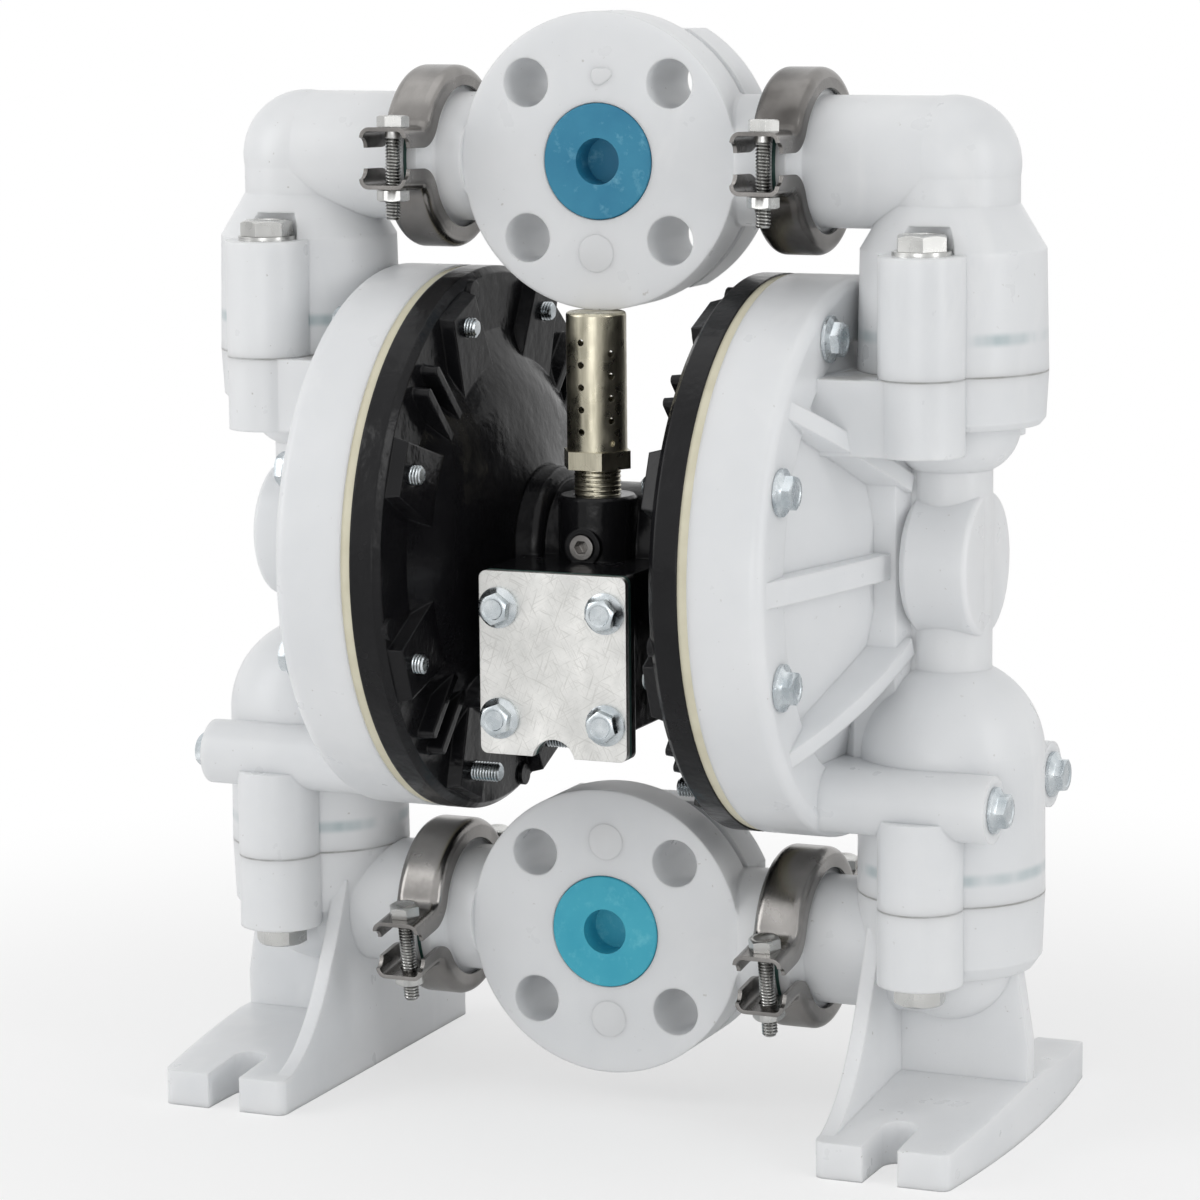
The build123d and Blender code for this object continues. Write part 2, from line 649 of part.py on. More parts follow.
    # holes for the housing bolts and the threaded inserts of the elbow bolts
    with BuildSketch(across(BEAD_X[1])):
        with PolarLocations(CAP_BOLT_R, 8, start_angle=CAP_BOLT_START):
            Circle(CAP_HOLE_R)
    extrude(amount=LONG_BOSS_X - BEAD_X[1], mode=Mode.SUBTRACT)
    with BuildSketch(Plane.XY.offset(UPPER_PARTING)):
        with Locations((ELBOW_X, -BOSS_Y), (ELBOW_X, BOSS_Y)):
            Circle(INSERT_R)
    extrude(amount=-INSERT_H, mode=Mode.SUBTRACT)
    with BuildSketch(Plane.XY.offset(LOWER_PARTING)):
        with Locations((ELBOW_X, -BOSS_Y), (ELBOW_X, BOSS_Y)):
            Circle(INSERT_R)
    extrude(amount=INSERT_H, mode=Mode.SUBTRACT)

save(fluid_cap.part, "fluid_cap_right")
save(mirrored(fluid_cap.part), "fluid_cap_left")


# ------------------------------------------------------------------ air housings
with BuildPart() as air_cap:
    # rim, domed wall and the face that meets the centre body
    with BuildSketch(upright(0, AXIS_Z)):
        with BuildLine():
            Polyline(
                (HUB_X, COLLAR_R + 1), (HUB_X, 0), (48, 0), (48, 42), (50, 50), (61, CHAMBER_R - 4),
                (BEAD_X[0], CHAMBER_R), (BEAD_X[0], RIM_R), (AIR_RIM_X + 2.5, RIM_R),
                (AIR_RIM_X, RIM_R - 2.5), (AIR_RIM_X, CHAMBER_R),
            )
            Spline((AIR_RIM_X, CHAMBER_R), (50, 74), (43.5, 63), (39.5, 49), (36.5, 38), (HUB_X, COLLAR_R + 1))
        make_face()
    revolve(axis=shaft_axis())
    # pads around the bolts
    with BuildSketch(across(PAD_X)):
        with PolarLocations((PAD_REACH[0] + PAD_REACH[1]) / 2, 8, start_angle=CAP_BOLT_START):
            Trapezoid(2 * PAD_HALF_W, PAD_REACH[1] - PAD_REACH[0], 84, rotation=-90)
    extrude(amount=AIR_RIM_X - PAD_X, taper=-12)
    # pairs of ribs between them
    with BuildSketch(across(RIB_X)):
        with PolarLocations((RIB_REACH[0] + RIB_REACH[1]) / 2, 4, start_angle=45):
            with Locations((0, -RIB_SPACING / 2), (0, RIB_SPACING / 2)):
                RectangleRounded(RIB_REACH[1] - RIB_REACH[0], 3.6, 1.7)
    extrude(amount=AIR_RIM_X - RIB_X, taper=-6)
    # nothing stands inside the chamber or past the rim
    with BuildSketch(across(BEAD_X[0])):
        Circle(RIM_R)
    extrude(amount=HUB_X - BEAD_X[0], mode=Mode.INTERSECT)
    # round bosses on the domed wall and small ones at the edge
    with BuildSketch(across(36)):
        with Locations((-DRAIN_BOSS[0], DRAIN_BOSS[1]), (DRAIN_BOSS[0], DRAIN_BOSS[1])):
            Circle(7.5)
    extrude(amount=14, taper=-4)
    with BuildSketch(across(AIR_RIM_X - 1.5)):
        with PolarLocations(RIM_R - 6, 4, start_angle=12):
            Circle(4.5)
    extrude(amount=3)
    # bores: bolts, shaft and pilot rod
    with BuildSketch(across(BEAD_X[0])):
        with PolarLocations(CAP_BOLT_R, 8, start_angle=CAP_BOLT_START):
            Circle(CAP_THREAD_R + 0.1)
        Circle(SHAFT_R + RUNNING_GAP)
        with Locations((0, -PILOT_DROP)):
            Circle(PILOT_R + RUNNING_GAP)
    extrude(amount=HUB_X - BEAD_X[0], mode=Mode.SUBTRACT)

save(air_cap.part, "air_cap_right")
save(mirrored(air_cap.part), "air_cap_left")


# ------------------------------------------------------------------ centre body
with BuildPart() as center_body:
    # hub between the two air housings, with a rounded collar at each end
    with BuildSketch(upright(0, AXIS_Z)):
        Rectangle(2 * HUB_X, HUB_R, align=(Align.CENTER, Align.MIN))
        for side in (-1, 1):
            with BuildLine():
                Polyline(
                    (side * COLLAR_X, 0), (side * HUB_X, 0), (side * HUB_X, COLLAR_R),
                    (side * (COLLAR_X + 4), COLLAR_R),
                )
                ThreePointArc(
                    (side * (COLLAR_X + 4), COLLAR_R),
                    (side * (COLLAR_X + 1.2), COLLAR_R - 1.2),
                    (side * COLLAR_X, COLLAR_R - 4),
                )
                Line((side * COLLAR_X, COLLAR_R - 4), (side * COLLAR_X, 0))
            make_face()
    revolve(axis=shaft_axis())
    with BuildSketch(upright(0, AXIS_Z, MUFFLER_Y)):
        Polygon(
            (0, -10), (MUFFLER_BOSS[0], -10), (MUFFLER_BOSS[0], MUFFLER_BOSS[1] - 1.2),
            (MUFFLER_BOSS[0] - 1.2, MUFFLER_BOSS[1]), (0, MUFFLER_BOSS[1]),
            align=None,
        )
    revolve(axis=vertical_axis(0, MUFFLER_Y))
    # air valve block with its front flange, foot of the hub and inlet boss at the rear
    with BuildSketch(facing_front(BLOCK_FRONT_Y + 4, AXIS_Z)):
        with Locations((0, (BLOCK_TOP + BLOCK_BOTTOM) / 2)):
            RectangleRounded(2 * BLOCK_X, BLOCK_TOP - BLOCK_BOTTOM, 3)
        with Locations((0, NOTCH_DROP)):
            Circle(NOTCH_R, mode=Mode.SUBTRACT)
    extrude(amount=4)
    with BuildSketch(facing_front(-14, AXIS_Z)):
        with Locations((0, (BLOCK_TOP - 62) / 2)):
            Rectangle(2 * BLOCK_X - 1.2, BLOCK_TOP + 62)
    extrude(amount=-BLOCK_FRONT_Y - 4 - 14)
    with BuildSketch(facing_front(14, AXIS_Z)):
        with Locations((0, -22)):
            Rectangle(44, 44)
    extrude(amount=28)
    with BuildSketch(facing_front(INLET_Y, AXIS_Z + INLET_RISE)):
        Circle(14)
    extrude(amount=INLET_Y)
    with BuildSketch(facing_front(PLUG_Y, AXIS_Z + PLUG_RISE)):
        Circle(7.5)
    extrude(amount=-12)
    # bores: shaft, pilot rod, valve spool, socket plug, silencer thread, air inlet, cover screws
    with BuildSketch(across(-HUB_X)):
        Circle(SHAFT_R + RUNNING_GAP)
        with Locations((0, -PILOT_DROP)):
            Circle(PILOT_R + RUNNING_GAP)
    extrude(amount=2 * HUB_X, mode=Mode.SUBTRACT)
    with BuildSketch(across(-SPOOL_ROOM)):
        with Locations((SPOOL_Y, -SPOOL_DROP)):
            Circle(SPOOL_R + RUNNING_GAP)
    extrude(amount=2 * SPOOL_ROOM, mode=Mode.SUBTRACT)
    with BuildSketch(facing_front(PLUG_Y, AXIS_Z + PLUG_RISE)):
        Circle(5)
    extrude(amount=-9, mode=Mode.SUBTRACT)
    with BuildSketch(Plane.XY.offset(AXIS_Z + MUFFLER_BOSS[1])):
        with Locations((0, MUFFLER_Y)):
            Circle(9)
    extrude(amount=-10, mode=Mode.SUBTRACT)
    with BuildSketch(facing_front(INLET_Y, AXIS_Z + INLET_RISE)):
        Circle(8)
    extrude(amount=12, mode=Mode.SUBTRACT)
    with BuildSketch(facing_front(BLOCK_FRONT_Y, AXIS_Z)):
        with Locations(*COVER_BOLTS):
            Circle(3.2)
    extrude(amount=-9, mode=Mode.SUBTRACT)
save(center_body.part, "center_body")


# ------------------------------------------------------------------ valve cover, silencer and fittings
with BuildPart() as cover_gasket:
    with BuildSketch(facing_front(BLOCK_FRONT_Y, AXIS_Z)):
        with Locations((0, (BLOCK_TOP + BLOCK_BOTTOM) / 2)):
            RectangleRounded(2 * BLOCK_X, BLOCK_TOP - BLOCK_BOTTOM, 3)
        with Locations((0, NOTCH_DROP)):
            Circle(NOTCH_R, mode=Mode.SUBTRACT)
        with Locations(*COVER_BOLTS):
            Circle(3.4, mode=Mode.SUBTRACT)
    extrude(amount=COVER_GASKET_T)
save(cover_gasket.part, "valve_gasket")

with BuildPart() as cover_plate:
    with BuildSketch(facing_front(BLOCK_FRONT_Y - COVER_GASKET_T, AXIS_Z)):
        with Locations((0, (BLOCK_TOP + BLOCK_BOTTOM) / 2)):
            RectangleRounded(2 * BLOCK_X, BLOCK_TOP - BLOCK_BOTTOM, 3)
        with Locations((0, NOTCH_DROP)):
            Circle(NOTCH_R, mode=Mode.SUBTRACT)
        with Locations(*COVER_BOLTS):
            Circle(3.4, mode=Mode.SUBTRACT)
    extrude(amount=COVER_T)
save(cover_plate.part, "valve_cover_plate")

cover_bolts = []
cover_bolt = hex_bolt(11, 6.5, 3.0, 13, flange_r=8, flange_t=2)
for x, drop in COVER_BOLTS:
    head_plane = facing_front(BLOCK_FRONT_Y - COVER_GASKET_T - COVER_T, AXIS_Z)
    spot = Plane(origin=head_plane.from_local_coords((x, drop, 0)), x_dir=(1, 0, 0), z_dir=(0, -1, 0))
    cover_bolts.append(spot * cover_bolt)
save(joined(cover_bolts), "cover_bolts")

with BuildPart() as muffler_base:
    with BuildSketch(Plane.XY.offset(AXIS_Z + MUFFLER_BOSS[1] - 9)):
        with Locations((0, MUFFLER_Y)):
            Circle(8.9)
    extrude(amount=MUFFLER_HEX_Z - AXIS_Z - MUFFLER_BOSS[1] + 9)
    with BuildSketch(Plane.XY.offset(MUFFLER_HEX_Z)):
        with Locations((0, MUFFLER_Y)):
            RegularPolygon(12.2, 6, major_radius=False)
    extrude(amount=7)
    with BuildSketch(Plane.XY.offset(MUFFLER_HEX_Z + 7)):
        with Locations((0, MUFFLER_Y)):
            Circle(MUFFLER_CAN[0] - 1.2)
    extrude(amount=5)
    with BuildSketch(Plane.XY.offset(MUFFLER_HEX_Z + 12)):
        with Locations((0, MUFFLER_Y)):
            Circle(6.5)
    extrude(amount=-27, mode=Mode.SUBTRACT)
save(muffler_base.part, "muffler_base")

with BuildPart() as muffler_shell:
    with BuildSketch(Plane.XY.offset(AXIS_Z + MUFFLER_CAN[1])):
        with Locations((0, MUFFLER_Y)):
            Circle(MUFFLER_CAN[0])
    extrude(amount=MUFFLER_CAN[2] - MUFFLER_CAN[1])
    fillet(muffler_shell.faces().sort_by(Axis.Z)[-1].edges(), 1.5)
    with BuildSketch(Plane.XY.offset(AXIS_Z + MUFFLER_CAN[1])):
        with Locations((0, MUFFLER_Y)):
            Circle(MUFFLER_CAN[0] - 1.1)
    extrude(amount=MUFFLER_CAN[2] - MUFFLER_CAN[1] - 1.1, mode=Mode.SUBTRACT)
    # staggered columns of perforations
    for column in range(HOLE_COLUMNS):
        angle = radians(HOLE_START + 360 / HOLE_COLUMNS * column)
        direction = Vector(cos(angle), sin(angle), 0)
        middle = Vector(0, MUFFLER_Y, AXIS_Z + HOLE_MIDDLE - column % 2 * HOLE_PITCH / 2)
        with BuildSketch(Plane(origin=middle + direction * 9, z_dir=direction, x_dir=(0, 0, 1))):
            with GridLocations(HOLE_PITCH, 1, HOLE_ROWS, 1):
                Circle(1.35)
        extrude(amount=4, mode=Mode.SUBTRACT)
save(muffler_shell.part, "muffler_shell")

with BuildPart() as socket_plug:
    with BuildSketch(facing_front(PLUG_Y + 8.5, AXIS_Z + PLUG_RISE)):
        Circle(4.9)
    extrude(amount=9.5)
    with BuildSketch(facing_front(PLUG_Y - 1, AXIS_Z + PLUG_RISE)):
        RegularPolygon(2.5, 6, major_radius=False)
    extrude(amount=-5, mode=Mode.SUBTRACT)
save(socket_plug.part, "socket_plug")

with BuildPart() as inlet_fitting:
    with BuildSketch(facing_front(INLET_Y - 11, AXIS_Z + INLET_RISE)):
        Circle(7.9)
    extrude(amount=-11)
    with BuildSketch(facing_front(INLET_Y, AXIS_Z + INLET_RISE)):
        RegularPolygon(11, 6, major_radius=False)
    extrude(amount=-INLET_HEX_T)
    with BuildSketch(facing_front(INLET_Y + INLET_HEX_T, AXIS_Z + INLET_RISE)):
        Circle(INLET_THREAD_R)
    extrude(amount=INLET_HEX_T + 11, mode=Mode.SUBTRACT)
save(inlet_fitting.part, "air_inlet_fitting")


# ------------------------------------------------------------------ channel clamps
def clamp_section(depth_outer, depth_inner):
    """Area between two copies of the band's outline, each stepped inwards by its depth."""
    turn = degrees(atan2(EAR_RISE + EAR_BEND_R, EAR_BEND_Y))
    with BuildSketch(mode=Mode.PRIVATE) as section:
        with BuildLine():
            for depth in (depth_outer, depth_inner):
                for side in (-1, 1):
                    bend = (side * EAR_BEND_Y, EAR_RISE + EAR_BEND_R)
                    start = 180 + turn if side == 1 else 270
                    CenterArc(bend, EAR_BEND_R + depth, start, 90 - turn)
                    Line((side * EAR_BEND_Y, EAR_RISE - depth), (side * EAR_END, EAR_RISE - depth))
                CenterArc((0, 0), CLAMP_R - depth, turn, 180 - 2 * turn)
            for side in (-1, 1):
                Line((side * EAR_END, EAR_RISE - depth_outer), (side * EAR_END, EAR_RISE - depth_inner))
        make_face()
    return section.sketch


def ring_plane(x, z, tilt, upper):
    """Plane in the middle of a clamp; local y points away from the split, local x along the ears."""
    sense = 1 if upper else -1
    direction = (0, sense * cos(radians(tilt)), sense * sin(radians(tilt)))
    return Plane(origin=(x, 0, z), x_dir=direction, z_dir=(1, 0, 0))


def channel(plane, depth_outer, depth_inner, half_width, crown_r):
    """Bar that follows the band's outline, rounded along its outer edges."""
    with BuildPart() as bar:
        with BuildSketch(plane):
            add(clamp_section(depth_outer, depth_inner))
        extrude(amount=half_width, both=True)
        crown = [
            edge
            for edge in bar.edges()
            if abs(abs((edge @ 0.5 - plane.origin).dot(plane.z_dir)) - half_width) < 0.01
            and on_outline(plane.to_local_coords(edge @ 0.5), depth_outer)
        ]
        fillet(crown, crown_r)
    return bar.part


def on_outline(point, depth):
    """True for a point on the band's outline stepped inwards by the depth."""
    bend = hypot(abs(point.X) - EAR_BEND_Y, point.Y - EAR_RISE - EAR_BEND_R)
    return (
        abs(hypot(point.X, point.Y) - CLAMP_R + depth) < 0.01
        or abs(bend - EAR_BEND_R - depth) < 0.01
        or abs(point.Y - EAR_RISE + depth) < 0.01
    )


def clamp_half(plane):
    """Half ring of U channel whose ends carry on outwards as bolt ears."""
    with BuildPart() as half:
        add(channel(plane, 0, CLAMP_DEPTH, CLAMP_HALF_W, CLAMP_CROWN_R))
        inner = channel(
            plane, CLAMP_T, CLAMP_DEPTH + 1, CLAMP_HALF_W - CLAMP_T, CLAMP_CROWN_R - CLAMP_T
        )
        add(inner, mode=Mode.SUBTRACT)
        # lips cut away at the ear ends
        with BuildSketch(plane):
            for side in (-1, 1):
                with Locations((side * EAR_END, EAR_RISE - CLAMP_DEPTH)):
                    Circle(LIP_END_R)
        extrude(amount=CLAMP_HALF_W, both=True, mode=Mode.SUBTRACT)
        across_split = Plane(origin=plane.origin, x_dir=plane.x_dir, z_dir=plane.y_dir)
        with BuildSketch(across_split):
            with Locations((-EAR_BOLT, 0), (EAR_BOLT, 0)):
                Circle(EAR_HOLE_R)
        extrude(amount=EAR_RISE + 4, mode=Mode.SUBTRACT)
    return half.part


clamp_bolt = hex_bolt(11, 4.6, 3.2, 2 * EAR_RISE + 12)
clamp_nut = hex_nut(11, 4.8, 3.25)
clamp_bolts = []
clamp_nuts = []
for level, z, tilt in (("upper", UPPER_Z, UPPER_CLAMP_TILT), ("lower", LOWER_Z, LOWER_CLAMP_TILT)):
    for name, x in (("left", -CLAMP_X), ("right", CLAMP_X)):
        top = ring_plane(x, z, tilt, True)
        bottom = ring_plane(x, z, tilt, False)
        save(joined([clamp_half(top), clamp_half(bottom)]), f"clamp_{level}_{name}")
        for side in (-1, 1):
            head = Plane(
                origin=top.from_local_coords((side * EAR_BOLT, EAR_RISE, 0)),
                x_dir=top.x_dir,
                z_dir=top.y_dir,
            )
            nut = Plane(
                origin=bottom.from_local_coords((side * EAR_BOLT, EAR_RISE, 0)),
                x_dir=bottom.x_dir,
                z_dir=bottom.y_dir,
            )
            clamp_bolts.append(head * clamp_bolt)
            clamp_nuts.append(nut * clamp_nut)
save(joined(clamp_bolts), "clamp_bolts")
save(joined(clamp_nuts), "clamp_nuts")


def clamp_gasket(x, z):
    """Flat ring with a bead on each face, between two clamped pipe ends."""
    with BuildPart() as ring:
        with BuildSketch(across(x, z)):
            Circle(FERRULE_R - 0.3)
            Circle(PIPE_BORE_R, mode=Mode.SUBTRACT)
        extrude(amount=GASKET_T / 2, both=True)
        with BuildSketch(across(x, z)):
            Circle(GASKET_BEAD[0] + GASKET_BEAD[1] - 0.1)
            Circle(GASKET_BEAD[0] - GASKET_BEAD[1] + 0.1, mode=Mode.SUBTRACT)
        extrude(amount=GASKET_T / 2 + GASKET_BEAD[1] - 0.1, both=True)
    return ring.part


save(
    joined([clamp_gasket(x, z) for x in (-CLAMP_X, CLAMP_X) for z in (UPPER_Z, LOWER_Z)]),
    "clamp_gaskets",
)


# ------------------------------------------------------------------ bolts of the housings and elbows
short_bolt = hex_bolt(12, CAP_BOLT_HEAD, CAP_THREAD_R, FLUID_RIM_X - CAP_THREAD_END, flange_r=9, flange_t=2)
long_bolt = hex_bolt(12, CAP_BOLT_HEAD, CAP_THREAD_R, LONG_BOSS_X - LONG_THREAD_END, flange_r=9, flange_t=2)
short_bolts = []
long_bolts = []
for side in (-1, 1):
    for index in range(8):
        angle = radians(CAP_BOLT_START + 45 * index)
        y = CAP_BOLT_R * cos(angle)
        z = AXIS_Z + CAP_BOLT_R * sin(angle)
        is_long = index in (5, 6)
        seat_x = LONG_BOSS_X if is_long else FLUID_RIM_X
        spot = Plane(origin=(side * seat_x, y, z), x_dir=(0, 1, 0), z_dir=(side, 0, 0))
        if is_long:
            long_bolts.append(spot * long_bolt)
        else:
            short_bolts.append(spot * short_bolt)
save(joined(short_bolts), "housing_bolts_short")
save(joined(long_bolts), "housing_bolts_long")

upper_length = UPPER_BOSS_TOP - UPPER_PARTING + 15
lower_length = LOWER_PARTING - LOWER_BOSS_BOTTOM + 15
elbow_bolt = hex_bolt(ELBOW_BOLT_FLATS, ELBOW_BOLT_HEAD, ELBOW_BOLT_R, upper_length)
lower_bolt = hex_bolt(ELBOW_BOLT_FLATS, ELBOW_BOLT_HEAD, ELBOW_BOLT_R, lower_length)
elbow_washer = washer(11.3, ELBOW_BOLT_R + 0.5, ELBOW_WASHER_T)
insert = washer(INSERT_R - 0.05, ELBOW_BOLT_R + 0.05, INSERT_H - 1)
elbow_bolts = []
elbow_washers = []
inserts = []
for side in (-1, 1):
    for y in (-BOSS_Y, BOSS_Y):
        x = side * ELBOW_X
        up = {"x_dir": (1, 0, 0), "z_dir": (0, 0, 1)}
        down = {"x_dir": (1, 0, 0), "z_dir": (0, 0, -1)}
        elbow_bolts.append(Plane(origin=(x, y, UPPER_BOSS_TOP + ELBOW_WASHER_T), **up) * elbow_bolt)
        elbow_bolts.append(Plane(origin=(x, y, LOWER_BOSS_BOTTOM - ELBOW_WASHER_T), **down) * lower_bolt)
        elbow_washers.append(Plane(origin=(x, y, UPPER_BOSS_TOP), **up) * elbow_washer)
        elbow_washers.append(Plane(origin=(x, y, LOWER_BOSS_BOTTOM), **down) * elbow_washer)
        inserts.append(Plane(origin=(x, y, UPPER_PARTING), **down) * insert)
        inserts.append(Plane(origin=(x, y, LOWER_PARTING), **up) * insert)
save(joined(elbow_bolts), "elbow_bolts")
save(joined(elbow_washers), "elbow_washers")
save(joined(inserts), "threaded_inserts")


# ------------------------------------------------------------------ diaphragms, plates and shaft
with BuildPart() as diaphragm:
    with BuildSketch(upright(0, AXIS_Z)):
        with BuildLine():
            Polyline(
                (PLATE_X[1], PLATE_R + 1), (PLATE_X[1], STUD_R + 0.05), (PLATE_X[2], STUD_R + 0.05),
                (PLATE_X[2], PLATE_R + 1),
            )
            ThreePointArc((PLATE_X[2], PLATE_R + 1), (77, 61), (PLATE_X[2], CHAMBER_R - 4))
            Polyline(
                (PLATE_X[2], CHAMBER_R - 4), (BEAD_X[1], CHAMBER_R), (BEAD_X[1], RIM_R - 0.6),
                (BEAD_X[0], RIM_R - 0.6), (BEAD_X[0], CHAMBER_R), (PLATE_X[1], CHAMBER_R - 4),
            )
            ThreePointArc((PLATE_X[1], CHAMBER_R - 4), (74, 61), (PLATE_X[1], PLATE_R + 1))
        make_face()
    revolve(axis=shaft_axis())
    with BuildSketch(across(BEAD_X[0])):
        with PolarLocations(CAP_BOLT_R, 8, start_angle=CAP_BOLT_START):
            Circle(CAP_HOLE_R)
    extrude(amount=BEAD_X[1] - BEAD_X[0], mode=Mode.SUBTRACT)
save(diaphragm.part, "diaphragm_right")
save(mirrored(diaphragm.part), "diaphragm_left")

with BuildPart() as inner_plate:
    with BuildSketch(upright(0, AXIS_Z)):
        Polygon(
            (PLATE_X[0], STUD_R + 0.05), (PLATE_X[0], 22), (PLATE_X[1] - 4, PLATE_R - 4),
            (PLATE_X[1] - 1, PLATE_R), (PLATE_X[1], PLATE_R), (PLATE_X[1], STUD_R + 0.05),
            align=None,
        )
    revolve(axis=shaft_axis())
with BuildPart() as outer_plate:
    with BuildSketch(upright(0, AXIS_Z)):
        Polygon(
            (PLATE_X[2], STUD_R + 0.05), (PLATE_X[2], PLATE_R), (PLATE_X[2] + 1, PLATE_R),
            (PLATE_X[2] + 4, PLATE_R - 4), (CAP_NUT_X - 1, 16), (CAP_NUT_X, 12), (CAP_NUT_X, 0),
            (PLATE_X[3] + 0.5, 0), (PLATE_X[3] + 0.5, STUD_R + 0.05),
            align=None,
        )
    revolve(axis=shaft_axis())
save(joined([inner_plate.part, mirrored(inner_plate.part)]), "diaphragm_plates_inner")
save(joined([outer_plate.part, mirrored(outer_plate.part)]), "diaphragm_plates_outer")

with BuildPart() as shaft:
    with BuildSketch(across(-PLATE_X[3])):
        Circle(STUD_R)
    extrude(amount=2 * PLATE_X[3])
    with BuildSketch(across(-PLATE_X[0])):
        Circle(SHAFT_R)
    extrude(amount=2 * PLATE_X[0])
save(shaft.part, "diaphragm_shaft")

with BuildPart() as pilot_rod:
    with BuildSketch(across(-PILOT_END, AXIS_Z - PILOT_DROP)):
        Circle(PILOT_R)
    extrude(amount=2 * PILOT_END)
save(pilot_rod.part, "pilot_rod")

with BuildPart() as spool:
    with BuildSketch(upright(0, AXIS_Z - SPOOL_DROP, SPOOL_Y)):
        Polygon(
            (-SPOOL_HALF, 0), (-SPOOL_HALF, SPOOL_R), (-14, SPOOL_R), (-14, 8), (-4, 8), (-4, SPOOL_R),
            (4, SPOOL_R), (4, 8), (14, 8), (14, SPOOL_R), (SPOOL_HALF, SPOOL_R), (SPOOL_HALF, 0),
            align=None,
        )
    revolve(axis=Axis((0, SPOOL_Y, AXIS_Z - SPOOL_DROP), (1, 0, 0)))
save(spool.part, "air_valve_spool")


# ------------------------------------------------------------------ check valves
def valve_seat(x, z):
    """Ring under the ball with a cone for it to sit on and a corner groove for the O-ring."""
    with BuildPart() as seat:
        with BuildSketch(upright(x)):
            Polygon(
                (SEAT_BORE_R, z), (SEAT_R, z), (SEAT_R, z + SEAT_H - 4.4), (SEAT_R - 3.7, z + SEAT_H - 4.4),
                (SEAT_R - 3.7, z + SEAT_H - 0.6), (SEAT_R - 3.7, z + SEAT_H),
                (SEAT_BORE_R + SEAT_CONE, z + SEAT_H), (SEAT_BORE_R, z + SEAT_H - SEAT_CONE),
                align=None,
            )
        revolve(axis=vertical_axis(x))
    return seat.part


def o_ring(x, z):
    with BuildPart() as ring:
        with BuildSketch(upright(x)):
            with Locations((SEAT_R - 1.85, z + SEAT_H - 2.5)):
                Circle(1.85)
        revolve(axis=vertical_axis(x))
    return ring.part


def ball(x, z):
    with BuildPart() as sphere:
        with Locations((x, 0, z + BALL_CENTRE)):
            Sphere(BALL_R)
    return sphere.part


valve_spots = [(side * ELBOW_X, z) for side in (-1, 1) for z in (UPPER_SEAT_Z, LOWER_SEAT_Z)]
save(joined([valve_seat(x, z) for x, z in valve_spots]), "valve_seats")
save(joined([o_ring(x, z) for x, z in valve_spots]), "valve_o_rings")
for level, z in (("upper", UPPER_SEAT_Z), ("lower", LOWER_SEAT_Z)):
    save(ball(-ELBOW_X, z), f"ball_{level}_left")
    save(ball(ELBOW_X, z), f"ball_{level}_right")
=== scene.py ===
import json
import math
import random

import bmesh
import bpy
from mathutils import Matrix, Vector


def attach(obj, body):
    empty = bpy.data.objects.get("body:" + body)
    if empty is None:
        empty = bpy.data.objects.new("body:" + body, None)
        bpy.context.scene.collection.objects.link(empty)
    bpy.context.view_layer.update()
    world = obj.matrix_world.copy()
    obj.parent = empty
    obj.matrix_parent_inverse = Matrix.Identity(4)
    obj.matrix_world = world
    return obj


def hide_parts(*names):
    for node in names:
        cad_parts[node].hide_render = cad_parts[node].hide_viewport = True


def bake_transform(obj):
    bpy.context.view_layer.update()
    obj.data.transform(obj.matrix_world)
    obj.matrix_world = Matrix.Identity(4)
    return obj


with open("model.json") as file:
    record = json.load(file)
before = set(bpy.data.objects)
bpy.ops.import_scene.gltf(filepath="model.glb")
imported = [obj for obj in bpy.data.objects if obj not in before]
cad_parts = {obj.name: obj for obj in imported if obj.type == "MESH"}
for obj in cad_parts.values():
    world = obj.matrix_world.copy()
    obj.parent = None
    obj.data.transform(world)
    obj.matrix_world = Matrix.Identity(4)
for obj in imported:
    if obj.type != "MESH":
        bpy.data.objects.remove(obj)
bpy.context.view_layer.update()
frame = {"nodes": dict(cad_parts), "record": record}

MM = 0.001
NODES = frame["nodes"]
BODY = "pump_body"

# ------------------------------------------------------------------ sizes shared with the CAD model (mm)
AXIS_Z = 223.0
UPPER_Z = AXIS_Z + 152.5
LOWER_Z = AXIS_Z - 152.5
CLAMP_X = 77.0
ELBOW_X = 137.0
BOSS_Y = 37.0
CAP_BOLT_R = 95.3
CAP_BOLT_START = 22.5
MUFFLER_Y = -25.5
FLANGE_FACE_Y = -22.5
PLATE_FACE_Y = -71.0


